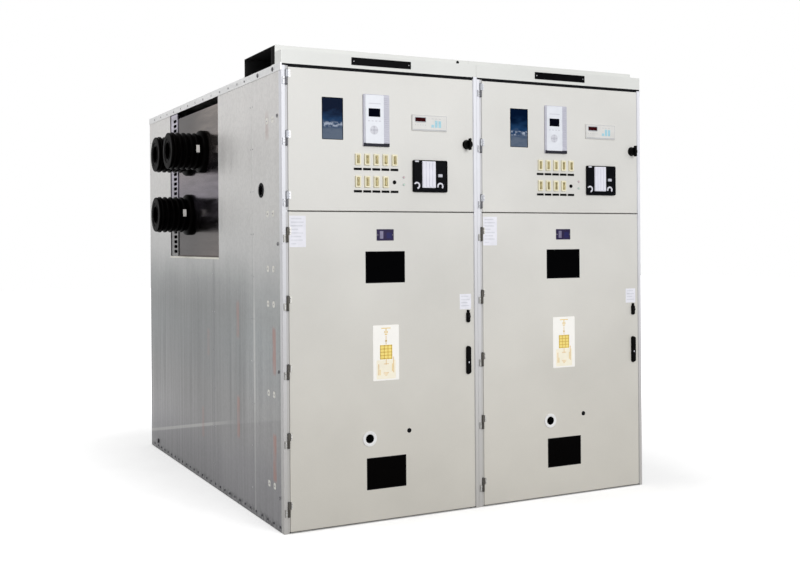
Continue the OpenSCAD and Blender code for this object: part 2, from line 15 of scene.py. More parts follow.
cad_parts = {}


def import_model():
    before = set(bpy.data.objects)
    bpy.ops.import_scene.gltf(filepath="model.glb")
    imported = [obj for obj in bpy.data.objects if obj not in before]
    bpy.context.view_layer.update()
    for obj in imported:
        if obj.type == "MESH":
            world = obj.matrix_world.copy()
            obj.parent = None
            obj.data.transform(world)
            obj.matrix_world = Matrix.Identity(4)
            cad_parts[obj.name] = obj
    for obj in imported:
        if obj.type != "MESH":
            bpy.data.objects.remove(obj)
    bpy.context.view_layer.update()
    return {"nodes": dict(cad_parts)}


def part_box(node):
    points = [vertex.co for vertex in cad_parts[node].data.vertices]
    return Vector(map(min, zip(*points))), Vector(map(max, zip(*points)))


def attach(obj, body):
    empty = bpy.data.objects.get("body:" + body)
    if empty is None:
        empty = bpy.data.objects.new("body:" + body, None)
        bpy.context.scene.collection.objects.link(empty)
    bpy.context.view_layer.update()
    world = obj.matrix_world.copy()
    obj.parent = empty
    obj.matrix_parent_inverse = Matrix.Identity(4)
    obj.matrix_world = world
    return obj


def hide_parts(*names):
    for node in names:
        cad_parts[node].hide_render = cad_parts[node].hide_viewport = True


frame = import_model()
random.seed(11)

MM = 0.001
UNITS = ("left", "right")
UNIT_W = 1200  # a cubicle's width, in millimetres
AXIS_X, AXIS_Y, AXIS_Z = (Vector(row) for row in Matrix.Identity(3))
BLACK, WHITE = (0, 0, 0, 1), (1, 1, 1, 1)


# ---------------------------------------------------------------- places on the object


class Box(namedtuple("Box", "a0 a1 b0 b1 c0 c1")):
    """A piece's extent on a face, in millimetres: across, up and out of it."""

    @property
    def middle(self):
        return (self.a0 + self.a1) / 2, (self.b0 + self.b1) / 2

    @property
    def size(self):
        return self.a1 - self.a0, self.b1 - self.b0


class Face:
    """A side of the object: its corner, and the directions across, up and out of it."""

    def __init__(self, corner, across, up, out):
        self.corner, self.across, self.up, self.out = Vector(corner), across, up, out

    def at(self, a, b, c=0.0):
        """The point a across, b up and c out, in millimetres, as a point in the row frame."""
        return self.corner + MM * (a * self.across + b * self.up + c * self.out)

    def box(self, node):
        """A CAD node's box on this face."""
        ends = [corner - self.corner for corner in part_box(node)]
        spans = []
        for axis in (self.across, self.up, self.out):
            spans += sorted(end.dot(axis) / MM for end in ends)
        return Box(*spans)


def less(size, trim):
    """A width and height, each less the same trim."""
    return size[0] - trim, size[1] - trim


def corners(centre, across, up):
    """The four points at across and up either side of a centre."""
    return [(centre[0] + da, centre[1] + db) for da in (-across, across) for db in (-up, up)]


def around(centre, radius, start=0.0):
    """Four points on a circle, a quarter turn apart."""
    turns = [start + math.pi / 2 * step for step in range(4)]
    return [(centre[0] + radius * math.cos(t), centre[1] + radius * math.sin(t)) for t in turns]


front_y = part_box("left_upper_door")[0].y
side_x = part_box("left_rear_panel")[0].x
roof_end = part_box("roof_panels")[1]
half_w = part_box("wiring_trunk")[1].x
FRONT = {
    "left": Face((-half_w, front_y, 0), AXIS_X, AXIS_Z, -AXIS_Y),
    "right": Face((0, front_y, 0), AXIS_X, AXIS_Z, -AXIS_Y),
}
LEFT = Face((side_x, front_y, 0), AXIS_Y, AXIS_Z, -AXIS_X)
RIGHT = Face((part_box("right_side_panels")[1].x, front_y, 0), AXIS_Y, AXIS_Z, AXIS_X)
ROOF = Face((-half_w, front_y, roof_end.z), AXIS_X, AXIS_Y, AXIS_Z)
REAR = Face((half_w, roof_end.y, 0), -AXIS_X, AXIS_Z, AXIS_Y)


# ---------------------------------------------------------------- nodes and finishes


def srgb(red, green, blue):
    """A colour given as 0 to 255 in sRGB, as Blender's linear colour."""
    linear = []
    for part in (red / 255, green / 255, blue / 255):
        linear.append(part / 12.92 if part <= 0.04045 else ((part + 0.055) / 1.055) ** 2.4)
    return (*linear, 1.0)


class Nodes:
    """The nodes of a material or a world, and what feeds its shader."""

    def __init__(self, owner, shader):
        owner.use_nodes = True
        self.tree = owner.node_tree
        self.shader = self.tree.nodes[shader]

    def feed(self, socket, value):
        """Links a socket to another, or gives it a number or a colour."""
        if isinstance(value, bpy.types.NodeSocket):
            self.tree.links.new(value, socket)
        else:
            socket.default_value = value

    def node(self, kind, inputs=(), **settings):
        made = self.tree.nodes.new("ShaderNode" + kind)
        for key, value in settings.items():
            setattr(made, key, value)
        for key, value in dict(inputs).items():
            self.feed(made.inputs[key], value)
        return made

    def set(self, **sockets):
        """Feeds the shader's sockets; an underscore stands for a space in a socket's name."""
        for key, value in sockets.items():
            self.feed(self.shader.inputs[key.replace("_", " ")], value)

    def math(self, operation, first, second=0.0):
        return self.node("Math", {0: first, 1: second}, operation=operation).outputs[0]

    def seen(self):
        """1 for rays from the camera, also mirrored or through glass, and 0 for other rays."""
        path = self.node("LightPath")
        seen = path.outputs["Is Camera Ray"]
        for other in ("Is Glossy Ray", "Is Transmission Ray"):
            seen = self.math("MAXIMUM", seen, path.outputs[other])
        return seen


class Finish(Nodes):
    """A Principled material whose nodes read the piece's own coordinates, in metres."""

    RAMP_TOP = 2.6  # the height at the end of a ramp of shades at heights

    def __init__(self, name, **sockets):
        self.material = bpy.data.materials.new(name)
        super().__init__(self.material, "Principled BSDF")
        self.place = self.node("TexCoord").outputs["Object"]
        self.set(**sockets)

    def moved(self, stretch=(1, 1, 1), shift=(0, 0, 0)):
        inputs = {"Vector": self.place, "Scale": stretch, "Location": shift}
        return self.node("Mapping", inputs).outputs[0]

    def noise(self, scale, detail=2.0, stretch=(1, 1, 1), shift=(0, 0, 0), roughness=0.5):
        inputs = {"Vector": self.moved(stretch, shift), "Scale": scale, "Detail": detail}
        return self.node("TexNoise", {**inputs, "Roughness": roughness}).outputs[0]

    def cells(self, scale):
        """One grey value for each crystal-like cell."""
        inputs = {"Vector": self.moved(), "Scale": scale}
        colour = self.node("TexVoronoi", inputs, feature="F1").outputs["Color"]
        return self.node("SeparateColor", {0: colour}).outputs[0]

    def part(self, axis):
        """One coordinate: 0, 1 or 2 for X, Y or Z."""
        return self.node("SeparateXYZ", {0: self.place}).outputs[axis]

    def times(self, first, *others):
        for other in others:
            first = self.math("MULTIPLY", first, other)
        return first

    def fit(self, value, low, high, new_low=0.0, new_high=1.0):
        """The value's range low to high, mapped to another and cut off at its ends."""
        inputs = {1: low, 2: high, 3: new_low, 4: new_high, 0: value}
        return self.node("MapRange", inputs, interpolation_type="SMOOTHSTEP").outputs[0]

    def vary(self, noise, low, high):
        """Low to high, over the middle of a noise's range."""
        return self.fit(noise, 0.3, 0.7, low, high)

    def within(self, value, low, high, soft):
        """1 between low and high, falling to 0 over soft on each side."""
        rise = self.fit(value, low - soft, low)
        return self.times(rise, self.fit(value, high, high + soft, 1.0, 0.0))

    def mix(self, factor, first, second, blend="MIX"):
        inputs = {0: factor, 6: first, 7: second}
        return self.node("Mix", inputs, data_type="RGBA", blend_type=blend).outputs[2]

    def tint(self, shade, share):
        """A shade multiplied by another shade or by a share."""
        return self.mix(1.0, shade, share, "MULTIPLY")

    def ramp(self, value, *stops):
        made = self.node("ValToRGB", {0: value})
        elements = made.color_ramp.elements
        while len(elements) < len(stops):
            elements.new(0.5)
        for element, (position, colour) in zip(elements, stops):
            element.position, element.color = position, colour
        return made.outputs[0]

    def cloudy(self, noise, colour, spread):
        """A colour that the noise makes darker and lighter by spread."""
        darker = srgb(*(max(0, part - spread) for part in colour))
        lighter = srgb(*(min(255, part + spread) for part in colour))
        return self.ramp(noise, (0.3, darker), (0.7, lighter))

    def at_heights(self, shift, stops):
        """Tones at heights in metres, shifted by a share of the ramp; they are painted light and
        shade that change with height.
        """
        level = self.math("ADD", self.math("DIVIDE", self.part(2), self.RAMP_TOP), shift)
        return self.ramp(level, *((high / self.RAMP_TOP, srgb(*shade)) for high, shade in stops))

    def base(self):
        """What feeds the base colour up to now."""
        return self.shader.inputs["Base Color"].links[0].from_socket

    def bump(self, height, strength, distance):
        inputs = {"Height": height, "Strength": strength, "Distance": distance}
        self.set(Normal=self.node("Bump", inputs).outputs[0])
        return self


def paint(name, colour, roughness=0.42, spread=5, peel=0.12, foot=None):
    """Powder coat: cloudy shade, fine specks, orange peel, and a painted shade that darkens it
    towards its foot.
    """
    made = Finish(name)
    cloud = made.noise(1.7, 4.0)
    speck = made.vary(made.noise(420, 1.0), 0.975, 1.0)
    shade = made.tint(made.cloudy(cloud, colour, spread), speck)
    # Painted shade: below foot_top the colour is multiplied towards the foot tone, darker near the
    # floor.
    if foot:
        foot_top = 2.2
        rise = made.fit(made.part(2), 0.0, foot_top)
        shade = made.tint(shade, made.mix(rise, srgb(*foot), WHITE))
    made.set(Base_Color=shade, Roughness=made.vary(cloud, roughness - 0.05, roughness + 0.05))
    return made.bump(made.noise(330, 2.0), peel, 0.0003)


def sheet_metal(name, stops, streak_axis=1, blotch=0.22, streaks=1.0):
    """Zinc-coated sheet: tones at heights in metres that paint in its shade, darker low and
    lighter high, blotches, drawn streaks and spangle.
    """
    made = Finish(name, Metallic=0.35)
    stretch = [1.0, 1.0, 0.55]
    stretch[streak_axis] = 26.0
    cloud = made.noise(1.6, 5.0, (1, 1, 0.7), roughness=0.6)
    streak = made.noise(1.5, 4.0, stretch)
    fine = made.noise(5.0, 3.0, stretch, (3, 5, 7))
    spangle = made.cells(62)
    shade = made.at_heights(made.fit(cloud, 0.25, 0.75, -blotch, blotch), stops)
    for pattern, low_share, high_share in (
        (streak, 1.0 - 0.10 * streaks, 1.0 + 0.04 * streaks),
        (fine, 1.0 - 0.05 * streaks, 1.0 + 0.03 * streaks),
        (spangle, 0.965, 1.035),
    ):
        shade = made.tint(shade, made.fit(pattern, 0.2, 0.8, low_share, high_share))
    made.set(Base_Color=shade, Roughness=made.fit(streak, 0.25, 0.75, 0.36, 0.50))
    return made.bump(made.math("ADD", spangle, made.noise(45, 2.0)), 0.04, 0.0004)


# Lines painted along the left side's seams: the pale ones are painted highlights on the folds, the
# dark one painted shade. Each gives place along it, width, colour, strength, lowest and highest
# point.
SEAM_LIGHT_AND_SHADE = (
    (LEFT.at(455, 0).y, 0.016, (196, 196, 194), 0.25, 0.0, 2.4),
    (LEFT.at(455, 0).y, 0.022, (190, 190, 188), 0.4, 0.72, 1.1),
    (LEFT.at(1226, 0).y, 0.04, (104, 104, 107), 0.28, 0.3, 1.3),
)
# Marks left by torn film: place along the side, lowest and highest point, strength.
FILM_MARKS = (
    (-1.29, 0.27, 0.49, 0.75),
    (-1.29, 0.845, 1.065, 0.7),
    (-0.675, 0.41, 0.62, 0.55),
    (-0.675, 1.0, 1.18, 0.45),
    (0.05, 0.30, 0.46, 0.3),
    (-0.08, 0.84, 0.98, 0.2),
    (-1.20, 2.12, 2.24, 0.3),
)


def side_marks(made):
    """Adds to the left side: painted shade over the middle and low down, a painted reflection of
    the floor's edge, seams painted with highlights and shade, film marks, and a darker speckled
    foot.
    """
    across, up = made.part(1), made.part(2)
    plain = made.base()
    # Painted shade: darker over the middle and rear below about 1.5 m, and over a band low down
    # behind the front panel.
    painted_middle_shade = made.times(made.within(across, 0.1, 0.6, 0.9), made.fit(up, 1.1, 1.5, 0.22, 0.0))
    behind_front = made.fit(across, -0.98, -0.72)
    painted_low_shade = made.times(behind_front, made.within(up, 0.62, 1.12, 0.42), 0.32)
    shade = made.mix(painted_low_shade, made.mix(painted_middle_shade, plain, BLACK), BLACK)
    # A painted reflection of the floor's edge: a pale line that rises towards the front, with
    # painted shade under it.
    floor_reflection_slope = 0.178
    floor_reflection_level = made.math("ADD", up, made.times(across, floor_reflection_slope))
    shade = made.tint(shade, made.fit(floor_reflection_level, 0.345, 0.360, 0.86, 1.0))
    line = made.times(made.within(floor_reflection_level, 0.362, 0.374, 0.008), made.fit(across, -0.75, 0.15))
    shade = made.mix(made.times(line, 0.55), shade, srgb(176, 175, 172))
    for seam, width, colour, amount, low, high in SEAM_LIGHT_AND_SHADE:
        line = made.within(across, seam - width / 2, seam + width / 2, width / 2)
        line = made.times(line, made.within(up, low, high, 0.2), amount)
        shade = made.mix(line, shade, srgb(*colour))
    worn = made.fit(made.noise(26, 3.0, (1, 0.6, 0.35)), 0.3, 0.6, 0.45, 1.0)
    half_mark = 0.016
    for centre, low, high, amount in FILM_MARKS:
        mark = made.within(across, centre - half_mark, centre + half_mark, 0.018)
        mark = made.times(mark, made.within(up, low, high, 0.03), worn, amount)
        shade = made.mix(mark, shade, srgb(146, 96, 84))
    speck = made.fit(made.noise(38, 4.0), 0.42, 0.62)
    foot = made.times(made.fit(up, 0.02, 0.06, 1.0, 0.0), speck, 0.9)
    shade = made.mix(foot, shade, srgb(58, 58, 60))
    outer_x, inner_x = -1.1984, -1.1975
    outside = made.fit(made.part(0), outer_x, inner_x, 1.0, 0.0)
    made.set(Base_Color=made.mix(outside, plain, shade))
    return made


def mirror_sheet(name, stops, painted_rear_shade, metallic=0.9):
    """Bright sheet round the bushings: tones at heights painted as shade and reflection, wisps,
    and rear corners darkened as painted shade.
    """
    made = Finish(name, Metallic=metallic)
    wisp = made.noise(5.0, 4.0, (1, 0.5, 4.5), roughness=0.6)
    shade = made.at_heights(made.vary(wisp, -0.012, 0.012), stops)
    shade = made.tint(shade, made.vary(wisp, 0.65, 1.3))
    # Painted shade: the rear corners, away from the plate's middle height, are darkened.
    plate_middle = 1.92
    from_middle = made.math("ABSOLUTE", made.math("SUBTRACT", made.part(2), plate_middle))
    rear = made.times(made.fit(from_middle, 0.1, 0.3), made.fit(made.part(1), -0.25, 0.4))
    shade = made.mix(made.times(rear, painted_rear_shade), shade, BLACK)
    made.set(Base_Color=shade, Roughness=made.vary(wisp, 0.12, 0.24))
    return made.bump(made.noise(30, 2.0), 0.03, 0.0004)


def hinge_finish(name, leaf_shaded_and_lit, barrel_shaded_and_lit):
    """Pale leaves and darker knuckles, each with a tone for the lower and the upper doors; the
    lower doors' darker tones are painted shade.
    """
    made = Finish(name, Metallic=0.5)
    mottle = made.noise(90, 4.0, roughness=0.65)
    # Painted shade: the hinges of the lower doors take darker tones than those of the upper doors.
    lower_top, upper_foot = 1.66, 1.74
    upper = made.fit(made.part(2), lower_top, upper_foot)
    pins_middle, pin_reach = -0.572, 0.6  # both rows of pins are pin_reach from pins_middle
    offset = made.math("ABSOLUTE", made.math("SUBTRACT", made.part(0), pins_middle))
    offset = made.math("ABSOLUTE", made.math("SUBTRACT", offset, pin_reach))
    knuckle_r, leaf_start = 0.0105, 0.0125
    knuckle = made.fit(offset, knuckle_r, leaf_start, 1.0, 0.0)
    leaf, barrel = (
        made.mix(upper, srgb(*low), srgb(*high)) for low, high in (leaf_shaded_and_lit, barrel_shaded_and_lit)
    )
    shade = made.tint(made.mix(knuckle, leaf, barrel), made.vary(mottle, 0.75, 1.1))
    made.set(Base_Color=shade, Roughness=made.vary(mottle, 0.34, 0.5))
    return made.bump(made.noise(300, 2.0), 0.08, 0.0002)


def plastic(name, colour, roughness=0.35, spread=4, grain=240.0, strength=0.1, gloss=0.5):
    """Moulded plastic: slightly uneven shade and a fine grain."""
    made = Finish(name, Specular_IOR_Level=gloss)
    cloud = made.noise(22, 3.0)
    made.set(Base_Color=made.cloudy(cloud, colour, spread))
    made.set(Roughness=made.vary(cloud, roughness - 0.05, roughness + 0.06))
    return made.bump(made.noise(grain, 2.0), strength, 0.0003)


def steel(name, bright, dull, roughness=0.34, metallic=0.75):
    """Zinc-plated steel: uneven shade, tarnish and light scratches."""
    made = Finish(name, Metallic=metallic)
    tarnish = made.noise(34, 5.0, roughness=0.65)
    scratch = made.noise(300, 2.0, (1, 1, 0.12))
    made.set(Base_Color=made.ramp(tarnish, (0.35, srgb(*dull)), (0.68, srgb(*bright))))
    made.set(Roughness=made.vary(scratch, roughness - 0.08, roughness + 0.12))
    return made.bump(scratch, 0.08, 0.0002)


def glass(name, top, middle, bottom, box, painted_reflection_strength=0.0):
    """Dark pane over a dim inside: a painted reflection whose shade changes down the pane, with
    soft pale painted reflections in a band.
    """
    made = Finish(name, Specular_IOR_Level=0.01)
    low, high = box.b0 * MM, box.b1 * MM
    wisp = made.noise(18, 4.0, (1, 1, 2.2))
    level = made.fit(made.part(2), low, high)
    level = made.math("ADD", level, made.fit(wisp, 0.25, 0.75, -0.12, 0.12))
    # Painted reflection: the pane's colour changes from its foot to its top.
    shade = made.ramp(level, (0.05, srgb(*bottom)), (0.42, srgb(*middle)), (0.82, srgb(*top)))
    # Painted reflection: soft pale patches in a band low on the pane.
    if painted_reflection_strength:
        band = made.within(made.part(2), low + 0.084, low + 0.094, 0.014)
        patch = made.fit(made.noise(58, 3.0, (1, 1, 1.4), (2, 0, 9)), 0.44, 0.62)
        shade = made.mix(made.times(band, patch, painted_reflection_strength), shade, srgb(178, 188, 205))
    made.set(Base_Color=shade, Roughness=made.vary(wisp, 0.07, 0.16))
    return made.bump(made.noise(9, 1.0), 0.02, 0.001)


# The foot tones of the doors, the posts and the pale strips are painted shade, darker towards the
# floor.
door_paint = paint("door_paint", (217, 216, 212), foot=(243, 240, 234))
header_paint = paint("header_paint", (218, 219, 216), roughness=0.4)
# Painted light: the header's end faces at the left side are made lighter than its front.
painted_end_light = header_paint.fit(header_paint.part(0), -1.199, -1.196, 1.24, 1.0)
header_paint.set(Base_Color=header_paint.tint(header_paint.base(), painted_end_light))
post_paint = paint("post_paint", (231, 232, 239), roughness=0.4, foot=(206, 203, 194))
base_paint = paint("base_paint", (50, 51, 53), roughness=0.5, spread=8)
# The left side's tones at heights are painted light and shade: dark low down, lighter towards the
# top.
SIDE_PAINTED_LIGHT_STOPS = (
    (0.08, (129, 128, 131)),
    (0.25, (131, 130, 133)),
    (0.42, (139, 138, 139)),
    (0.60, (138, 138, 138)),
    (0.76, (133, 135, 136)),
    (1.00, (137, 141, 142)),
    (1.15, (140, 143, 143)),
    (1.30, (154, 156, 156)),
    (1.50, (184, 184, 183)),
    (1.75, (200, 199, 197)),
    (2.30, (212, 210, 208)),
)
# Tones at heights on the plate and the post round the bushings: painted shade low down and painted
# reflections of the bushings.
PLATE_PAINTED_LIGHT_STOPS = (
    (1.45, (72, 64, 60)),
    (1.60, (66, 61, 58)),
    (1.86, (98, 92, 104)),
    (2.30, (114, 106, 100)),
)
POST_PAINTED_LIGHT_STOPS = (
    (1.45, (48, 46, 44)),
    (1.60, (54, 51, 50)),
    (1.86, (104, 97, 114)),
    (2.30, (160, 154, 170)),
)
side_sheet = side_marks(sheet_metal("side_sheet", SIDE_PAINTED_LIGHT_STOPS, blotch=0.02, streaks=0.5))
plain_sheet = sheet_metal("plain_sheet", ((0.2, (160, 160, 162)), (2.3, (196, 196, 195))))
wall_sheet = sheet_metal("wall_sheet", ((0.2, (168, 168, 170)), (2.3, (196, 196, 196))), 0)
roof_sheet = sheet_metal("roof_sheet", ((0.2, (176, 176, 178)), (2.3, (200, 200, 200))), 0)
edge_sheet = sheet_metal("edge_sheet", ((0.2, (205, 205, 206)), (2.3, (226, 226, 226))), 2)
plate_sheet = mirror_sheet("plate_sheet", PLATE_PAINTED_LIGHT_STOPS, 0.88)
plate_sheet.set(Specular_Tint=srgb(231, 229, 229))
post_sheet = mirror_sheet("post_sheet", POST_PAINTED_LIGHT_STOPS, 0.0, 0.6)
trunk_paint = paint("trunk_paint", (22, 22, 23), roughness=0.55, spread=5, peel=0.2)
plate_black = plastic("plate_black", (7, 7, 9), 0.36, 3, gloss=0.02)
epoxy = plastic("epoxy", (4, 3, 3), 0.34, 2, 60.0, 0.04, gloss=0.008)
rubber = plastic("rubber", (9, 10, 13), 0.62, 4, 420.0, 0.3, gloss=0.06)
zinc = steel("zinc", (190, 190, 192), (120, 120, 122))
hinge_fixed = hinge_finish(
    "hinge_fixed", ((160, 159, 156), (178, 179, 184)), ((60, 57, 52), (88, 88, 92))
)
hinge_moving = hinge_finish(
    "hinge_moving", ((190, 188, 183), (198, 199, 203)), ((74, 71, 66), (158, 160, 166))
)
dark_steel = steel("dark_steel", (84, 84, 88), (34, 34, 38), 0.42)
grey_steel = steel("grey_steel", (140, 140, 142), (86, 86, 88), 0.42)
brass = steel("brass", (176, 164, 118), (104, 94, 62), 0.42, 0.5)
relay_white = plastic("relay_white", (224, 227, 234), 0.34)
relay_grey = plastic("relay_grey", (190, 190, 202), 0.38)
key_grey = plastic("key_grey", (204, 205, 213), 0.45)
key_mid = plastic("key_mid", (182, 183, 193), 0.45)
case_dark = plastic("case_dark", (44, 44, 52), 0.42, gloss=0.05)
lcd = plastic("lcd", (5, 7, 18), 0.2, 3, 60.0, 0.02, gloss=0.0)
display_white = plastic("display_white", (216, 215, 212), 0.36)
display_line = plastic("display_line", (176, 178, 182), 0.4)
led_red = plastic("led_red", (52, 6, 10), 0.2, 4, 60.0, 0.02, gloss=0.02)
led_pink = plastic("led_pink", (222, 190, 194), 0.25)
led_green = plastic("led_green", (188, 218, 198), 0.25)
bar_teal = plastic("bar_teal", (158, 204, 218), 0.3)
link_cream = plastic("link_cream", (236, 229, 200), 0.4)
link_olive = plastic("link_olive", (176, 164, 118), 0.45, 14)
tag_black = plastic("tag_black", (5, 5, 7), 0.42, 3, gloss=0.03)
block_black = plastic("block_black", (7, 8, 12), 0.34, gloss=0.03)
rib_white = plastic("rib_white", (226, 226, 236), 0.36)
handle_black = plastic("handle_black", (6, 6, 6), 0.34, gloss=0.03)
card_white = plastic("card_white", (253, 251, 246), 0.42, 1)
card_cream = plastic("card_cream", (250, 243, 222), 0.42, 3)
line_gold = plastic("line_gold", (228, 192, 84), 0.4, 6)
line_pale = plastic("line_pale", (247, 225, 128), 0.4, 4)
line_tan = plastic("line_tan", (226, 190, 130), 0.4, 8)
sticker = plastic("sticker", (232, 232, 240), 0.48, 6)
sticker_grey = plastic("sticker_grey", (214, 215, 223), 0.5, 12)
navy = plastic("navy", (40, 31, 66), 0.4, 6, gloss=0.12)
navy_pale = plastic("navy_pale", (116, 110, 140), 0.4, 16)
navy_deep = plastic("navy_deep", (36, 34, 84), 0.4, 6, gloss=0.12)
ring_white = plastic("ring_white", (232, 232, 232), 0.4)
strip_pale = paint("strip_pale", (203, 203, 206), 0.6, foot=(228, 226, 218))
sill_pale = plastic("sill_pale", (232, 230, 218), 0.5, 6)
sill_painted_shade = plastic("sill_painted_shade", (64, 52, 46), 0.6, 8)
spot_white = plastic("spot_white", (234, 232, 224), 0.5, 12)


# ---------------------------------------------------------------- outlines and pieces


def rounded(width, height, radius, steps=4):
    """A rectangle with round corners, as a function from inset to its points."""

    def points(inset):
        a, b, r = width / 2 - inset, height / 2 - inset, max(radius - inset, 0.25)
        made = []
        for start, (sign_a, sign_b) in enumerate(((1, 1), (-1, 1), (-1, -1), (1, -1))):
            for step in range(steps + 1):
                turn = math.radians(90 * (start + step / steps))
                arc_a, arc_b = r * math.cos(turn), r * math.sin(turn)
                made.append((sign_a * (a - r) + arc_a, sign_b * (b - r) + arc_b))
        return made

    return points


def disc(radius, count=32, start=0.0):
    """A circle or, with few points, a polygon, as a function from inset to its points."""

    def points(inset):
        turns = [start + 2 * math.pi * step / count for step in range(count)]
        return [((radius - inset) * math.cos(t), (radius - inset) * math.sin(t)) for t in turns]

    return points


def crown(base, top, radius):
    """Steps, as (inset, height), of a slab from base to top whose far edge is round."""
    count = 3
    turns = [math.pi / 2 * step / count for step in range(count + 1)]
    drop = math.copysign(radius, top - base)
    arc = [(radius * (1 - math.cos(t)), top - drop * (1 - math.sin(t))) for t in turns]
    return [(0.0, base)] + arc


def turned(profile):
    """Steps round disc(0.0) of a turned shape, whose profile holds (radius, height) pairs."""
    return [(-radius, height) for radius, height in profile]


class Piece:
    """Shapes on one face, gathered into one object that may replace CAD nodes."""

    def __init__(self, name, face, *replaced):
        self.name, self.face, self.replaced = name, face, replaced
        self.mesh = bmesh.new()
        self.finishes = []

    def index(self, finish):
        """A finish's place among the piece's materials."""
        if finish not in self.finishes:
            self.finishes.append(finish)
        return self.finishes.index(finish)

    def polygon(self, verts, finish):
        self.mesh.faces.new(verts).material_index = self.index(finish)

    def vert(self, a, b, c):
        return self.mesh.verts.new(self.face.at(a, b, c))

    def wall(self, first, second, finish):
        """Joins two rings with as many points."""
        for i in range(len(first)):
            j = (i + 1) % len(first)
            self.polygon((first[i], first[j], second[j], second[i]), finish)

    def skin(self, rings, finish, ends=True):
        """Joins rings in a row and, with ends, closes the last and the first."""
        for first, second in zip(rings, rings[1:]):
            self.wall(first, second, finish)
        if ends:
            self.polygon(rings[-1], finish)
            self.polygon(rings[0][::-1], finish)
        return rings

    def loft(self, centre, outline, steps, finish, ends=True):
        """One outline round a centre, at (inset, height) steps."""
        rings = []
        for inset, height in steps:
            points = outline(inset)
            rings.append([self.vert(centre[0] + a, centre[1] + b, height) for a, b in points])
        return self.skin(rings, finish, ends)

    def slab(self, centre, size, base, top, finish, radius=1.0, corner=2.0):
        """A plate on the face with round corners and a round front edge."""
        width, height = size
        corner = min(corner, width / 2 - 0.3, height / 2 - 0.3)
        radius = min(radius, abs(top - base) * 0.9, width * 0.3, height * 0.3)
        self.loft(centre, rounded(width, height, corner), crown(base, top, radius), finish)

    def frame(self, centre, size, bar, base, top, finish, radius=1.0, corner=3.0):
        """A picture frame: a bead of width bar whose front edges are round."""
        outer = crown(base, top, radius)
        steps = outer + [(bar - inset, height) for inset, height in reversed(outer)]
        rings = self.loft(centre, rounded(*size, corner), steps, finish, ends=False)
        self.wall(rings[-1], rings[0], finish)

    def knob(self, centre, radius, base, top, finish, edge=1.0, count=32):
        self.loft(centre, disc(radius, count), crown(base, top, edge), finish)

    def lathe(self, centre, profile, finish, count=48):
        """A closed turned shape: profile holds (radius, height) pairs."""
        self.loft(centre, disc(0.0, count), turned(profile), finish)

    def hex_bolt(self, centre, radius, base, finish, share=0.55):
        """A hexagon head on its washer; its height is a share of its radius."""
        thick = radius * 0.16
        turn = random.uniform(0, math.pi / 3)
        self.knob(centre, radius * 1.45, base, base + thick, finish, thick * 0.5, 20)
        top = base + thick + radius * share
        steps = [(0, base + thick), (0, top - radius * 0.12), (radius * 0.14, top)]
        self.loft(centre, disc(radius, 6, turn), steps, finish)

    def domed(self, centre, radius, base, shares, finish, count):
        """A head whose profile is given as shares of its radius."""
        profile = [(radius * wide, base + radius * high) for wide, high in shares]
        self.lathe(centre, profile, finish, count)

    def screw(self, centre, radius, base, finish):
        """A low round head."""
        self.domed(centre, radius, base, ((1, 0), (1, 0.2), (0.86, 0.45), (0.5, 0.6)), finish, 20)

    def rivet(self, centre, radius, base, finish, out=1):
        """A dome with a small dimple in its middle; out is -1 behind a face."""
        shares = ((1, 0), (0.9, 0.3), (0.62, 0.5), (0.3, 0.52), (0.22, 0.34))
        self.domed(centre, radius, base, [(wide, out * high) for wide, high in shares], finish, 16)

    def sheet(self, rings, finish):
        """One flat face: its outline is the first ring, and the others are holes in it."""
        edges = []
        for ring in rings:
            for i, vert in enumerate(ring):
                other = ring[(i + 1) % len(ring)]
                known = self.mesh.edges.get((vert, other))
                edges.append(known or self.mesh.edges.new((vert, other)))
        filled = bmesh.ops.triangle_fill(self.mesh, use_beauty=True, edges=edges)
        for item in filled["geom"]:
            if isinstance(item, bmesh.types.BMFace):
                item.material_index = self.index(finish)

    def pierced(self, front, back, holes, rim, finish):
        """Closes the front and the back ring of a plate that has holes with one rim."""
        fronts, backs = [front], [back]
        for centre, outline in holes:
            hole = self.loft(centre, outline, rim, finish, ends=False)
            fronts.append(hole[0])
            backs.append(hole[-1])
        self.sheet(fronts, finish)
        self.sheet(backs, finish)

    def ride(self, body, slot=None):
        """Turns the shapes into an object that rides on a CAD body."""
        bmesh.ops.recalc_face_normals(self.mesh, faces=self.mesh.faces)
        data = bpy.data.meshes.new(self.name)
        self.mesh.to_mesh(data)
        self.mesh.free()
        data.polygons.foreach_set("use_smooth", [True] * len(data.polygons))
        data.set_sharp_from_angle(angle=math.radians(40))
        for finish in self.finishes:
            data.materials.append(finish.material)
        piece = bpy.data.objects.new(self.name, data)
        bpy.context.scene.collection.objects.link(piece)
        piece.modifiers.new("flat_faces", "WEIGHTED_NORMAL").keep_sharp = True
        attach(piece, body)
        if self.replaced:
            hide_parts(*self.replaced)


# ---------------------------------------------------------------- doors and their fittings

VIEW_PANE_H = 188.0
REAR_TRIM = 21  # how much smaller a fitting's body is behind the door than in front of it
CUTOUT_MARGIN = 9.5  # how far a fitting's front reaches beyond its cut-out on each side
LEVER_HOLE_INSET = 10.0  # its shaft's hole in the door, in from the lever's top and left edge


def front_box(side, part):
    return FRONT[side].box(f"{side}_{part}")


def fitting(side, part, suffix):
    """A fitting's CAD box, and an empty piece that replaces its node."""
    node = f"{side}_{part}"
    return front_box(side, part), Piece(f"{node}_{suffix}", FRONT[side], node)


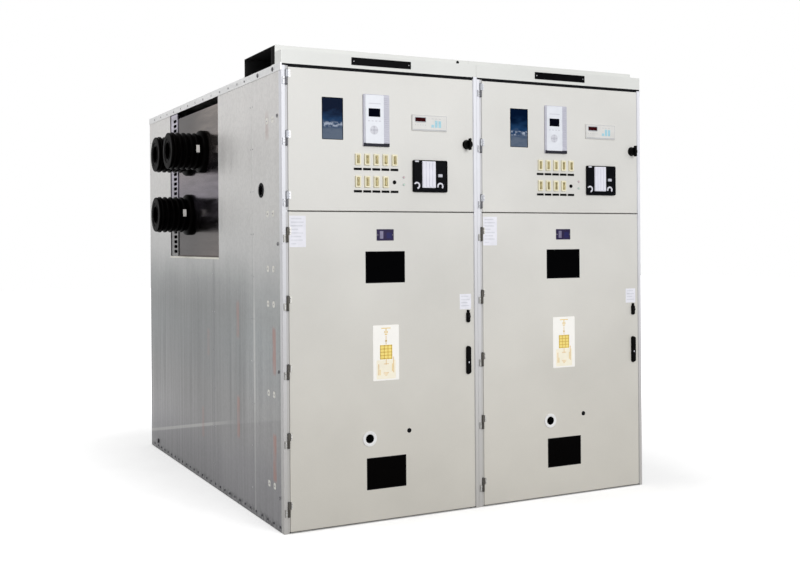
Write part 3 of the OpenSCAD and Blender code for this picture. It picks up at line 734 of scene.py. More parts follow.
def door(side, level, holes):
    """A folded tray with round folds, cut-outs, inner flanges and a seal behind."""
    box, piece = fitting(side, f"{level}_door", "tray")
    skin, flange, fold, back = 2.0, 16.0, 3.0, box.c0
    steps = [(fold, -skin), (skin, -fold), (skin, back + skin), (flange, back + skin)]
    steps += [(flange, back), (1.5, back), (0.0, back + 1.5)] + crown(-fold, 0.0, fold)[1:]
    rings = piece.loft(box.middle, rounded(*box.size, 3.0), steps, door_paint, ends=False)
    rim = [(-0.5, 0.0), (-0.15, -0.15), (0.0, -0.5), (0.0, -skin)]
    piece.pierced(rings[-1], rings[0], holes, rim, door_paint)
    piece.frame(box.middle, less(box.size, 6), 9.0, back, back - 3.5, rubber)
    piece.ride(f"{side}_{level}_door", "door_paint")


def cutout(side, part, margin=CUTOUT_MARGIN):
    """A cut-out for a fitting that reaches margin beyond it on each side."""
    box = front_box(side, part)
    return box.middle, rounded(*less(box.size, 2 * margin), 2.0)


def window(side):
    """The instrument window: a pane with painted reflections behind a slim bead."""
    box, piece = fitting(side, "instrument_window", "pane")
    # The pane's colours, dark navy above to grey-blue below, are painted reflections.
    tint = glass(f"{side}_window_painted_reflection", (2, 18, 44), (28, 58, 94), (94, 106, 124), box, 0.8)
    piece.slab(box.middle, box.size, box.c0, box.c1, tint, 0.4, 3.0)
    piece.ride(f"{side}_upper_door", "window_glass")
    bead = Piece(f"{side}_instrument_window_bead", FRONT[side])
    bead.frame(box.middle, less(box.size, 13), 3.0, box.c1, 0.8, rubber, 0.8)
    bead.ride(f"{side}_upper_door", "rubber_black")


def view_panes(side):
    """The centres of the two viewing panes, and their size."""
    box = front_box(side, "viewing_windows")
    heights = (box.b1 - VIEW_PANE_H / 2, box.b0 + VIEW_PANE_H / 2)
    return [(box.middle[0], b) for b in heights], (box.size[0], VIEW_PANE_H)


def viewing_windows(side):
    """Two black viewing panes, each held by a bead with screws behind the door."""
    box, piece = fitting(side, "viewing_windows", "panes")
    bead = Piece(f"{side}_viewing_windows_beads", FRONT[side])
    black = glass(f"{side}_view_tint", (2, 2, 3), (1, 1, 2), (3, 2, 2), box)
    centres, size = view_panes(side)
    back = box.c0 - 2.0
    for centre in centres:
        piece.slab(centre, size, box.c0, box.c1, black, 0.4, 3.0)
        bead.frame(centre, less(size, 13), 4.0, box.c1, 1.0, rubber, 0.8)
        bead.frame(centre, less(size, -12), 18.0, box.c0, back, zinc, 0.6)
        for spot in corners(centre, size[0] / 2 - 2, size[1] / 2 - 2):
            bead.rivet(spot, 4.0, back, zinc, -1)
    piece.ride(f"{side}_lower_door", "viewing_glass")
    bead.ride(f"{side}_lower_door", "rubber_black")


def rear_body(piece, box, finish):
    """A fitting's body behind the door."""
    piece.slab(box.middle, less(box.size, REAR_TRIM), box.c0, 0.0, finish, 1.0, 3.0)


def rear_terminals(piece, box, reach, size, depth, finish):
    """Two terminal blocks on a fitting's back."""
    a, b = box.middle
    for sign in (-1, 1):
        piece.slab((a + sign * reach, b), size, box.c0 + depth, box.c0, finish)


def relay(side):
    """Protection relay: ribbed case, white face, screen, keypad and rear terminals."""
    box, piece = fitting(side, "relay", "unit")
    (a, b), (width, height), proud = box.middle, box.size, box.c1
    rear_body(piece, box, plain_sheet)
    case_top, face_top = proud - 4.5, proud - 0.8
    piece.slab((a, b), (width, height), 0.0, case_top, relay_grey, 3.0, 6.0)
    rib = (case_top - 1, case_top + 2, relay_grey, 1.2, 1.5)
    for sign, strip in ((-1, 10), (1, 36)):
        for row in range(24):
            spot = (a + sign * (width - strip) / 2, b - height / 2 + 26 + row * 10.5)
            piece.slab(spot, (strip - 5, 4.5), *rib)
    face_a, sunk = a - 13, face_top - 0.4
    face_size = (114, height - 18)
    piece.slab((face_a, b + 6), face_size, case_top - 1, face_top, relay_white, 2.5, 5.0)
    piece.slab((a, b - height / 2 + 9), (width - 3, 18), 0.0, proud - 2, case_dark, 1.0, 2.0)
    screen = (face_a - 2, b + 42)
    piece.frame(screen, (80, 55), 4.5, sunk, proud - 0.2, relay_white, 0.4, 4.0)
    piece.slab(screen, (72, 47), sunk, face_top + 0.3, lcd, 0.2, 2.0)
    piece.slab((face_a, b + 92), (74, 5), sunk, face_top + 0.3, key_grey, 0.2, 1.5)
    for row in range(6):
        piece.knob((face_a - 48, b + 22 + row * 8.0), 1.5, sunk, proud, led_green, 0.4, 12)
    pad = (face_a - 4, b - 54)
    piece.knob(pad, 25, sunk, face_top + 0.3, key_grey, 0.2)
    piece.knob(pad, 9, face_top, proud, key_mid, 0.3, 24)
    for spot in around(pad, 16.5):
        piece.slab(spot, (9, 9), face_top, proud, key_mid, 0.3, 2.5)
    for step in range(4):
        spot = (face_a - 35 + step * 22, b - 4)
        piece.slab(spot, (13, 6), sunk, face_top + 0.4, key_grey, 0.2, 2.0)
    rear_terminals(piece, box, 32, (26, height - 60), 8, handle_black)
    piece.ride(f"{side}_upper_door", "relay_case")


def status_display(side):
    """Switchgear status display: pale face with a dark red readout and three pale bars."""
    box, piece = fitting(side, "status_display", "unit")
    (a, b), (width, height), proud = box.middle, box.size, box.c1
    rear_body(piece, box, plain_sheet)
    piece.slab((a, b), (width, height), 0.0, proud - 0.6, display_white, 2.0, 4.0)
    sunk, line = proud - 1, proud - 0.2
    piece.frame((a, b), less(box.size, 6), 1.6, sunk, line, display_line, 0.3)
    piece.slab((a, b - height / 2 + 7), (width - 14, 3.6), sunk, line, display_line, 0.3, 1.0)
    readout = (a - 60, b + 18)
    piece.frame(readout, (73, 30), 4.0, sunk, proud, display_line, 0.4, 2.0)
    piece.slab(readout, (66, 23), sunk, proud - 0.3, led_red, 0.2, 1.0)
    for step, tall in enumerate((16, 40, 38)):
        spot = (a + 18 + step * 23, b - 24 + tall / 2)
        piece.slab(spot, (17, tall), sunk, proud - 0.1, bar_teal, 0.3, 1.5)
        piece.slab((spot[0], b + 25), (14, 2.2), sunk, line, display_line, 0.3, 0.8)
    for step in range(5):
        piece.knob((a - 92 + step * 16, b - 12), 2.4, sunk, proud - 0.1, display_line, 0.4, 14)
    piece.slab((a - 60, b + 1), (60, 1.6), sunk, line, display_line, 0.3, 0.6)
    piece.ride(f"{side}_upper_door", "display_case")


def link_plates(side):
    """Two rows of link plates over bare black tags, with a push button in the last place."""
    box, piece = fitting(side, "link_plates", "set")
    pitch, link_h, tag_h, drop, last = 56.0, 64.0, 13.0, 53.0, 4
    start = box.middle[0] - pitch * last / 2
    high, low = box.b1 - link_h / 2, box.b0 + tag_h / 2 + drop
    for row in (high, low):
        for step in range(last + 1):
            a = start + step * pitch
            piece.slab((a, row - drop), (48, tag_h), 0.0, 2.0, tag_black, 0.6, 1.5)
            if row == low and step == last:
                continue
            piece.slab((a, row), (34, link_h), 0.0, 7.0, link_cream, 1.5, 4.0)
            piece.frame((a, row), (32, link_h - 2), 7.0, 6.0, 10.0, link_cream, 1.4, 4.0)
            piece.slab((a, row), (17, 46), 6.0, 8.5, link_olive, 1.0, 3.0)
            piece.slab((a, row), (7, 34), 8.0, 11.0, brass, 1.0, 3.0)
            for db in (-15, 15):
                piece.knob((a, row + db), 5.2, 8.0, 13.5, brass, 1.2, 20)
    button = (start + last * pitch, low)
    piece.lathe(button, [(11, 0), (11, 1.2), (10.2, 2), (9, 2)], tag_black, 32)
    piece.knob(button, 8.6, 1.5, 8.0, handle_black, 2.0)
    piece.ride(f"{side}_upper_door", "link_cream")


def lamps(side):
    """Two small lamps, one over the other, right of the link plates."""
    piece = Piece(f"{side}_lamps", FRONT[side])
    bezel = [(7.5, 0), (7.5, 1.6), (6.4, 2.4)]
    dome = [(5.0, 2.0), (4.8, 3.6), (3.6, 5.4), (1.6, 6.4)]
    for b, finish in ((1901, led_pink), (1860, led_green)):
        piece.lathe((723, b), bezel, display_line, 24)
        piece.lathe((723, b), dome, finish, 24)
    piece.ride(f"{side}_upper_door")


def test_block(side):
    """Test terminal block: black case, ribbed cover strip, two hooks and rear terminals."""
    box, piece = fitting(side, "test_block", "unit")
    (a, b), (width, height), proud = box.middle, box.size, box.c1
    rear_body(piece, box, block_black)
    piece.slab((a, b), (width, height), 0.0, proud - 8, block_black, 3.0, 9.0)
    sunk, raised = proud - 9, proud - 3
    piece.frame((a, b), less(box.size, 8), 6.0, sunk, proud - 5, block_black, 1.6, 7.0)
    strip_h = 150.0
    strip = (a - 13, b + height / 2 - strip_h / 2 - 6)
    piece.slab(strip, (86, strip_h), sunk, raised, rib_white, 1.5, 3.0)
    for step in range(4):
        spot = (strip[0] - 31.5 + step * 21, strip[1])
        piece.slab(spot, (18.5, strip_h - 8), proud - 4, proud, rib_white, 1.2, 3.0)
    left_a, right_a = a - width / 2 + 20, a + width / 2 - 50
    hook(piece, (left_a, b - height / 2 + 36), (-80, 150), proud - 7)
    hook(piece, (right_a, b - height / 2 + 34), (-40, 200), proud - 7)
    mark = (right_a, b + 4)
    piece.slab(mark, (28, 17), sunk, raised, key_mid, 1.0, 4.0)
    piece.slab(mark, (14, 6), proud - 4, proud - 2, key_grey, 0.6, 2.0)
    piece.slab((left_a, b + height / 2 - 8), (24, 9), sunk, raised, key_grey)
    rear_terminals(piece, box, 60, (34, height - 50), 6, rib_white)
    piece.ride(f"{side}_upper_door", "test_block_case")


def hook(piece, spot, angles, height):
    """A pale bent clip: the part of a ring between two angles, standing on the block's face."""
    radius, tube, count, round_count = 16.0, 5.0, 14, 10
    first, last = angles
    rings = []
    for step in range(count + 1):
        angle = math.radians(first + (last - first) * step / count)
        ring = []
        for point in range(round_count):
            t = 2 * math.pi * point / round_count
            reach = radius + tube * math.cos(t)
            place = (spot[0] + reach * math.cos(angle), spot[1] + reach * math.sin(angle))
            ring.append(piece.vert(*place, height + tube * math.sin(t)))
        rings.append(ring)
    piece.skin(rings, rib_white)


def latch_knob(side):
    """Quarter-turn latch: a dished knob with a waisted wing, its shaft and nut."""
    box, piece = fitting(side, "latch_knob", "grip")
    (a, b), (width, height), top = box.middle, box.size, box.c1
    radius, proud = width / 2, top - 16
    body = [(radius, 0.4), (radius, 6), (radius - 2, 8), (radius - 3, proud - 5)]
    body += [(radius - 4, proud - 2), (radius - 7, proud), (radius - 12, proud - 1.5)]
    piece.lathe((a, b), body, handle_black)
    wing = [(0, proud - 4), (0, top - 4), (1.2, top - 1.2), (4, top)]
    piece.loft((a, b), rounded(12, height, 5.9, 8), wing, handle_black)
    piece.slab((a, b + height / 2 - 9), (3.5, 11), top - 1, top, rib_white, 0.4)
    shaft_and_nut(piece, (a, b), box.c0)
    piece.ride(f"{side}_latch_knob", "handle_black")
    collar = Piece(f"{side}_latch_collar", FRONT[side])
    collar.frame((a, b), (56.5, 56.5), 1.0, 0.0, 0.3, dark_steel, 0.2, 28.0)
    collar.ride(f"{side}_upper_door")


def shaft_and_nut(piece, centre, back):
    """The shaft through the door and its nut behind the skin."""
    piece.lathe(centre, [(6, 1.0), (6, back)], dark_steel, 24)
    piece.loft(centre, disc(12.5, 6), [(0, -2.4), (0, back + 1.0), (1.2, back)], zinc)


def lever_pivot(box):
    """Where the lever turns: the middle of its round upper end."""
    radius = box.size[0] / 2
    return box.a0 + radius, box.b1 - radius


def lever_handle(side):
    """The lever, hanging from its pivot, with a small pale fleck."""
    box, piece = fitting(side, "lever_handle", "grip")
    (a, b), (width, height), top = box.middle, box.size, box.c1 - 1
    body = [(1.2, 5.4), (0, 7.0), (0, top - 5), (1.2, top - 2), (4.5, top)]
    piece.loft((a, b), rounded(width, height, width / 2, 8), body, handle_black)
    piece.slab((a - 4, b - height * 0.08), (6, 10), box.c1 - 1.5, box.c1, key_grey, 0.3)
    shaft_and_nut(piece, lever_pivot(box), box.c0)
    piece.ride(f"{side}_lever_handle", "handle_black")


def lock_set(side):
    """The lever's base plate, and the lock over it with its barrel, rosette and keyhole."""
    lever = front_box(side, "lever_handle")
    box, piece = fitting(side, "lock_set", "case")
    a, width = lever.middle[0], box.size[0]
    plate_top = lever_pivot(lever)[1] + width / 2
    plate = rounded(width, plate_top - box.b0, width / 2 - 0.1, 8)
    piece.loft((a, (box.b0 + plate_top) / 2), plate, crown(0.0, 5.0, 1.5), handle_black)
    lock_b = box.b1 - 36.0
    barrel = [(0, 0), (0, 10), (1.5, 13), (5, 14.5)]
    piece.loft((a, lock_b - 6), rounded(23, 60, 10.0, 6), barrel, handle_black)
    piece.slab((a, lock_b + 29), (15, 14), 0.0, 11.0, handle_black, 2.0, 5.0)
    rosette = [(11, 12), (11, 16), (10, 17.5), (7.5, 18), (6, 17)]
    piece.lathe((a, lock_b - 2), rosette, handle_black)
    piece.slab((a, lock_b - 2), (2.4, 9), 16.5, 17.6, dark_steel, 0.3, 1.0)
    piece.ride(f"{side}_lower_door", "lock_black")


def mimic_panel(side):
    """Mimic plate: a plain line pattern of a feeder, on a white card with a pale foot."""
    box, piece = fitting(side, "mimic_panel", "plate")
    (a, b), (width, height), top = box.middle, box.size, box.c1
    sunk = top - 1.2
    piece.slab((a, b), (width, height), 0.0, top - 0.8, card_white, 0.8, 4.0)

    def down(share):
        """The height at a share of the card's height down from its top."""
        return box.b1 - share * height

    def bar(da, share, size, finish):
        """A thin bar at da from the middle."""
        spot = (a + da, down(share))
        piece.slab(spot, size, sunk, top - 0.2, finish, 0.2, min(size) / 2 - 0.4)

    piece.slab((a, down(0.80)), (118, 104), sunk, top - 0.6, card_cream, 0.2, 6)
    bar(0, 0.055, (58, 4.0), line_gold)
    bar(0, 0.105, (4.5, 26), line_gold)
    for da in (-8, 8):
        bar(da, 0.125, (4, 12), line_gold)
    bar(0, 0.165, (16, 5), line_gold)
    bar(0, 0.245, (4.0, 36), line_tan)
    bar(0, 0.285, (11, 9), line_gold)
    bar(0, 0.325, (4.0, 16), line_tan)
    for row in range(5):
        bar(0, 0.372 + row * 0.058, (76, 5.0), line_gold)
    for column in range(4):
        bar(-34 + column * 22.7, 0.488, (5.5, 78), line_gold)
    piece.slab((a, down(0.488)), (76, 80), sunk, top - 0.5, line_pale, 0.2, 3)
    bar(0, 0.665, (4.0, 30), line_tan)
    for da in (-9, 9):
        bar(da, 0.70, (14, 3.4), line_tan)
    for sign, share, tall in ((-1, 0.80, 62), (1, 0.72, 88)):
        bar(sign * 46, share, (4.5, tall), line_tan)
        bar(sign * 38, share + 0.05, (3.4, tall * 0.5), line_gold)
    for step in range(3):
        bar(0, 0.86 + step * 0.022, (34 - 10 * step, 3.0), line_tan)
    for spot in corners((a, b), width / 2 - 7, height / 2 - 7):
        piece.rivet(spot, 2.6, top - 0.9, card_white)
    piece.ride(f"{side}_lower_door", "mimic_card")


def crank_ring(side):
    """The white ring round the crank hole with its black sleeve."""
    box, piece = fitting(side, "crank_ring", "plate")
    centre, radius, top, count = box.middle, box.size[0] / 2, box.c1, 56
    steps = [(0, 0), (0, 3.5), (1.5, top), (12, top), (14.5, top - 1.4)]
    steps += [(radius - 26, top - 1.4), (radius - 24.6, top - 2.4)]
    rings = piece.loft(centre, disc(radius, count), steps, ring_white, ends=False)
    sleeve = [(radius - 24.6, 2.0), (radius - 24.3, -38.0)]
    inside = piece.loft(centre, disc(radius, count), sleeve, rubber, ends=False)
    piece.wall(rings[-1], inside[0], rubber)
    outside = piece.loft(centre, disc(26.5, count), [(0, -38), (0, 0)], rubber, ends=False)
    piece.wall(inside[-1], outside[0], rubber)
    piece.wall(outside[-1], rings[0], ring_white)
    for spot in around(centre, 34.5, math.pi / 4):
        piece.rivet(spot, 3.0, top - 1.5, zinc)
    piece.ride(f"{side}_lower_door", "ring_white")


def door_plug(side):
    """The small black plug between the crank hole and the lever."""
    plug = Piece(f"{side}_door_plug", FRONT[side])
    plug.lathe((747, 486), [(13, 0), (13, 1.2), (11, 2.6), (6.0, 3.4)], rubber, 32)
    plug.ride(f"{side}_lower_door")


# Labels: centre, size, widest field, first field's height, pitch, field's height, widths.
LABELS = (
    ((87, 1600), (94, 167), 76, 1668, 19, 7.5, (60, 72, 66, 40, 70, 58, 68, 30)),
    ((1117, 1195), (76, 88), 60, 1225, 18, 6.0, (50, 58, 44, 56)),
)


def stickers(side):
    """Plain labels with nothing on them but soft grey fields."""
    piece = Piece(f"{side}_labels", FRONT[side])
    for centre, size, widest, first_b, pitch, tall, widths in LABELS:
        piece.slab(centre, size, 0.0, 0.5, sticker, 0.2, 2.0)
        for row, wide in enumerate(widths):
            spot = (centre[0] - (widest - wide) / 2, first_b - row * pitch)
            piece.slab(spot, (wide, tall), 0.4, 0.7, sticker_grey, 0.1, 1.0)
    piece.ride(f"{side}_lower_door", "door_paint")


def navy_plate(side):
    """The small navy plate with two generic squares, held by two rivets."""
    plate = Piece(f"{side}_navy_plate", FRONT[side])
    a, b = 605, 1580
    plate.slab((a, b), (105, 63), 0.0, 2.0, navy, 0.6, 3.0)
    plate.slab((582, b), (21, 42), 1.6, 2.3, navy_pale, 0.2, 2.0)
    plate.slab((629, 1577), (32, 32), 1.6, 2.3, navy_deep, 0.2, 3.0)
    for da in (-46, 46):
        plate.rivet((a + da, b), 2.6, 1.6, zinc)
    plate.ride(f"{side}_lower_door")


FITTINGS = (window, viewing_windows, relay, status_display, link_plates, lamps, test_block)
FITTINGS += (latch_knob, lever_handle, lock_set, mimic_panel, crank_ring, door_plug)
FITTINGS += (stickers, navy_plate)
for side in UNITS:
    shaft_hole = disc(6.3, 24)
    upper_holes = [cutout(side, "instrument_window", 8.0)]
    upper_holes += [cutout(side, part) for part in ("relay", "status_display", "test_block")]
    upper_holes += [(front_box(side, "latch_knob").middle, shaft_hole)]
    door(side, "upper", upper_holes)
    centres, pane_size = view_panes(side)
    lower_holes = [(centre, rounded(*less(pane_size, 16), 2.0)) for centre in centres]
    lower_holes += [(front_box(side, "crank_ring").middle, disc(27.0, 40))]
    lever = front_box(side, "lever_handle")
    lower_holes += [((lever.a0 + LEVER_HOLE_INSET, lever.b1 - LEVER_HOLE_INSET), shaft_hole)]
    door(side, "lower", lower_holes)
    for build in FITTINGS:
        build(side)


# ---------------------------------------------------------------- header, hinges, bushings

THIN = 0.8  # how far seals, hems and laps stand out of their face
HINGE_A, HINGE_C = 28, 4  # the hinges' pins, across and out of the front
HINGES = {"upper": (1773, 2095.5, 2418), "lower": (130, 493.25, 856.5, 1219.75, 1583)}


def name_plates():
    """A bare black plate on each cubicle's header, with a rivet at each end."""
    box = FRONT["left"].box("name_plates")
    size = (366.0, box.size[1])
    centre = (box.a0 + size[0] / 2, box.b0 + size[1] / 2)
    for side, replaced in (("left", ["name_plates"]), ("right", [])):
        piece = Piece(f"{side}_name_plate", FRONT[side], *replaced)
        piece.slab(centre, size, 0.0, 2.0, plate_black, 0.6, 3.0)
        piece.frame(centre, less(size, 8), 1.2, 1.6, 2.3, tag_black, 0.2, 2.0)
        for sign in (-1, 1):
            piece.rivet((centre[0] + sign * (size[0] / 2 - 14), centre[1]), 3.4, 1.8, zinc)
        piece.ride("cabinet", "plate_black")


def strip(name, face, span_a, span_b, finish, body, slot):
    """A thin strip on a face, as a piece of its own."""
    (a0, a1), (b0, b1) = span_a, span_b
    piece = Piece(name, face)
    piece.slab(((a0 + a1) / 2, (b0 + b1) / 2), (a1 - a0, b1 - b0), 0.0, THIN, finish, 0.3, 1.0)
    piece.ride(body, slot)


def header_shadow_strips():
    """Under each header: black strips that paint the shadow in the gap, one behind the header's
    lip and one on its face, a hem in the header's paint, and a black lip on the door's top edge
    that paints the same shadow.
    """
    top = FRONT["left"].box("roof_panels").b0
    low, lip_top, start = top - 12.5, top - 3.0, 4.0
    for side, end in (("left", 1172.0), ("right", 1196.0)):
        piece = Piece(f"{side}_header_shadow_strip", FRONT[side])
        # Painted shadow: black rubber strips fill the gap under the header so that it shows dark.
        outline = [(-4.0, low), (-4.0, top), (-30.0, top), (-30.0, low)]
        piece.skin([[piece.vert(a, b, c) for c, b in outline] for a in (21.0, 1179.0)], rubber)
        lip = ((start + end) / 2, (low + lip_top) / 2)
        piece.slab(lip, (end - start, lip_top - low), 0.0, THIN, rubber, 0.3, 1.0)
        piece.ride("cabinet", "rubber_black")
        across, hem = (start, end), (lip_top, lip_top + 5.0)
        name = f"{side}_header_hem"
        strip(name, FRONT[side], across, hem, header_paint, "cabinet", "header_paint")
        box = front_box(side, "upper_door")
        across, edge = (box.a0 + 2, box.a1 - 2), (box.b1 - 8.5, box.b1 - 0.5)
        body = f"{side}_upper_door"
        strip(f"{side}_door_shadow_lip", FRONT[side], across, edge, rubber, body, "rubber_black")


def header_plug():
    """A small black plug near the right end of the left cubicle's upper fascia."""
    step = FRONT["left"].box("header_upper_fascias")
    plug = Piece("header_plug", FRONT["left"])
    dome = [(9, 0), (9, 1.5), (7, 3.0), (3, 3.6)]
    plug.lathe((1128, step.b1 - 14), [(r, step.c1 + c) for r, c in dome], rubber, 24)
    plug.ride("cabinet")


def trunk_laps():
    """The wiring trunk's end plates, which lap over the upper fascia's folded edges."""
    for face, side in ((LEFT, "left"), (RIGHT, "right")):
        step, roof = face.box("header_upper_fascias"), face.box("roof_panels").b1
        across, up = (step.a0 + 6, step.a1), (roof + 5.0, step.b1 - 1.0)
        strip(f"{side}_trunk_lap", face, across, up, epoxy, "cabinet", "trunk_black")


def gap_light_strips():
    """Pale strips set back in the gaps at the doors' hinges and free edges, which paint light into
    the gaps.
    """
    for side in UNITS:
        piece = Piece(f"{side}_gap_light_strips", FRONT[side])
        for level in ("upper", "lower"):
            box = front_box(side, f"{level}_door")
            for a, width, front in ((HINGE_A - 0.2, 14.6, -3.6), (box.a1 + 3.7, 4.8, -3.0)):
                size = (width, box.size[1] - 2)
                piece.slab((a, box.middle[1]), size, -14.0, front, strip_pale, 0.8, 1.0)
        piece.ride("cabinet", "rubber_black")


def hinge_details():
    """Caps on the hinge pins and screws in the leaves, for each body they ride on."""
    half, screws, leaf_top = 38, (12, 27), 7.0
    for side in UNITS:
        fixed = Piece(f"{side}_hinge_feet", FRONT[side])
        for level, places in HINGES.items():
            moving = Piece(f"{side}_{level}_hinge_caps", FRONT[side])
            for b in places:
                hinge_cap(fixed, b - half, -1)
                hinge_cap(moving, b + half, 1)
                for db in screws:
                    fixed.screw((HINGE_A - 15, b - db), 3.6, leaf_top, zinc)
                    moving.screw((HINGE_A + 14, b + db), 3.0, leaf_top, zinc)
            moving.ride(f"{side}_{level}_door", "hinge_steel")
        fixed.ride("cabinet", "hinge_steel")


def hinge_cap(piece, b, sign):
    """A domed cap on the end of a hinge's knuckle, pointing up or down."""
    kept = piece.face
    piece.face = Face(kept.at(HINGE_A, b, HINGE_C), AXIS_X, AXIS_Y * sign, AXIS_Z * sign)
    piece.lathe((0, 0), [(6.6, 0), (6.2, 1.6), (4.6, 2.8), (2.0, 3.4)], dark_steel, 24)
    piece.face = kept


def bushings():
    """Three cast bushings with rounded sheds, a blunt end, and a white patch on each that paints a
    highlight.
    """
    box, seat = LEFT.box("busbar_bushings"), LEFT.box("bushing_plate").c1
    collar_r, shed_r, root_r, face_r, passage_r = 138.0, 119.0, 109.0, 115.0, 55.0
    collar_l, pitch, count, nose = 36.0, 36.0, 5, box.c1
    stub_r = root_r - 2.5
    profile = [(passage_r, box.c0), (stub_r, box.c0), (stub_r, seat)]
    profile += [(collar_r - 2, seat), (collar_r, seat + 3), (collar_r, seat + 20)]
    profile += [(collar_r - 3, seat + 28), (collar_r - 10, seat + 34)]
    profile += [(root_r + 6, seat + collar_l)]
    for shed in range(count):
        base = seat + collar_l + shed * pitch
        profile += [(root_r, base + 3), (root_r, base + 11), (root_r + 5, base + 16)]
        profile += [(shed_r - 1, base + 20), (shed_r, base + 25), (shed_r, base + 30)]
        profile += [(shed_r - 3, base + 34)]
    end = seat + collar_l + count * pitch
    profile += [(root_r, end + 2), (face_r, end + 8), (face_r, nose - 4)]
    profile += [(face_r - 1.2, nose - 1.2), (face_r - 4, nose), (passage_r + 26, nose)]
    profile += [(passage_r + 24, nose - 3), (passage_r + 8, nose - 3), (passage_r + 6, nose)]
    profile += [(passage_r + 3, nose), (passage_r, nose - 3)]
    piece = Piece("bushing_set", LEFT, "busbar_bushings")
    rear, high, low = box.a1 - collar_r, box.b1 - collar_r, box.b0 + collar_r
    places = ((box.a0 + collar_r, high), (rear, high), (rear, low))
    for place in places:
        rings = piece.loft(place, disc(0.0, 96), turned(profile), epoxy, ends=False)
        piece.wall(rings[-1], rings[0], epoxy)
    piece.ride("cabinet", "epoxy_black")
    # Painted highlights: thin white patches on the bushings' sheds.
    labels = Piece("bushing_highlight_patches", LEFT)
    for place in places:
        curved_highlight_patch(labels, place, shed_r, seat + collar_l + 0.85 * pitch)
    labels.ride("cabinet", "ring_white")


def curved_highlight_patch(piece, centre, radius, middle_c):
    """A thin white patch bent round a bushing's shed, a little above its front, that paints a
    highlight.
    """
    reach, spread, lean, steps = 11.0, 0.2, 0.08, 8
    low_c, high_c = middle_c - reach, middle_c + reach
    rings = []
    for step in range(steps + 1):
        turn = lean + spread * (2 * step / steps - 1)
        ring = []
        for r, c in ((0.4, low_c), (0.4, high_c), (1.2, high_c), (1.2, low_c)):
            spot = ((radius + r) * math.cos(turn), (radius + r) * math.sin(turn))
            ring.append(piece.vert(centre[0] - spot[0], centre[1] + spot[1], c))
        rings.append(ring)
    piece.skin(rings, card_white)


def perforated_post():
    """The upright between plate and panel: an angle with a column of round-ended slots."""
    box, skin = LEFT.box("perforated_post"), 2.0
    piece = Piece("slotted_post", LEFT, "perforated_post")
    inner = box.c1 - skin
    edge = [(0.0, inner), (0.0, box.c1)]
    outline = rounded(*box.size, 0.5, 1)
    back, front = piece.loft(box.middle, outline, edge, post_sheet, ends=False)
    slot, slot_a, count, pitch = rounded(84, 22, 10.9, 5), 2134, 28, 34.0
    holes = [((slot_a, box.b0 + pitch * (step + 1)), slot) for step in range(count)]
    rim = [(-0.5, box.c1), (0.0, box.c1 - 0.5), (0.0, inner)]
    piece.pierced(front, back, holes, rim, post_sheet)
    web = (box.a0 + skin / 2, box.middle[1])
    piece.slab(web, (skin, box.size[1]), box.c0, inner, post_sheet, 0.3)
    # Painted shade: a black sheet behind the slots, standing in for the shade seen through them.
    piece.slab(box.middle, less(box.size, 8), box.c0 - 22, box.c0 - 20, rubber)
    piece.ride("cabinet", "edge_sheet")


def opening_sill():
    """The pale folded edge under the busbar opening, and a dark strip over it that paints the
    shade in the gap.
    """
    panel = LEFT.box("bushing_plate")
    piece = Piece("opening_sill", LEFT)
    fold_a0, fold_a1 = panel.a0 + 2, 2262.0
    spot = ((fold_a0 + fold_a1) / 2, panel.b0 - 6)
    piece.slab(spot, (fold_a1 - fold_a0, 12), 0.0, 0.9, sill_pale, 0.4, 2.0)
    line, size = (panel.middle[0], panel.b0 + 5), (panel.size[0] - 2, 9)
    piece.slab(line, size, panel.c1, panel.c1 + 1.0, sill_painted_shade, 0.3, 1.0)
    piece.ride("cabinet")


name_plates()
header_shadow_strips()
header_plug()
trunk_laps()
gap_light_strips()
hinge_details()
bushings()
perforated_post()
opening_sill()


# ---------------------------------------------------------------- bolts and rivets

BOLT_R = 6.5  # the bolts of the rear covers and the roof panels


def side_fasteners(face, name, full):
    """Bolts and rivets on a side of the cubicles; full adds what the left side shows."""
    piece = Piece(name, face)
    bolt_share, foot_r = (0.55, 8.0) if full else (0.2, 5.5)
    for b in (178, 852, 1534, 2218):
        piece.hex_bolt((66, b), 8.0, 0.0, grey_steel, bolt_share)
    for b in (228, 721, 1208, 1399, 1698, 2205):
        for a in (139, 225):
            if full:
                piece.slab((a, b), (34, 34), 0.0, 0.4, spot_white, 0.2, 9.0)
            piece.rivet((a, b), 5.0, 0.0, zinc)
    for a in range(60, 2800, 96):
        piece.rivet((a, 26), foot_r, 0.0, dark_steel)
    opening_b0 = 1440
    for b in range(150, 2400, 240):
        middle_seam = () if full and b >= opening_b0 else (1206, 1246)
        for a in (461, 500, 2826, *middle_seam):
            piece.rivet((a, b), 4.0, 0.0, zinc)
    if full:
        piece.hex_bolt((2640, 62), 14.0, 0.0, dark_steel)
    piece.ride("cabinet")


def angle_bolts(face, name, share):
    """Bolts on the roof edge's angle: heads of a share of their radius, or flat with none."""
    piece = Piece(name, face)
    base, b = face.box("roof_edge_angles").c1, 2473
    for a in (124, 362, 591, 724, 894, 1061, *range(1240, 2681, 180)):
        if not share:
            piece.knob((a, b), 7.0, base - 0.5, base + 0.1, dark_steel, 0.1, 20)
            continue
        radius, finish = (9.0, grey_steel) if a < 400 else (5.5, zinc)
        piece.hex_bolt((a, b), radius, base, finish, share)
    piece.ride("cabinet")


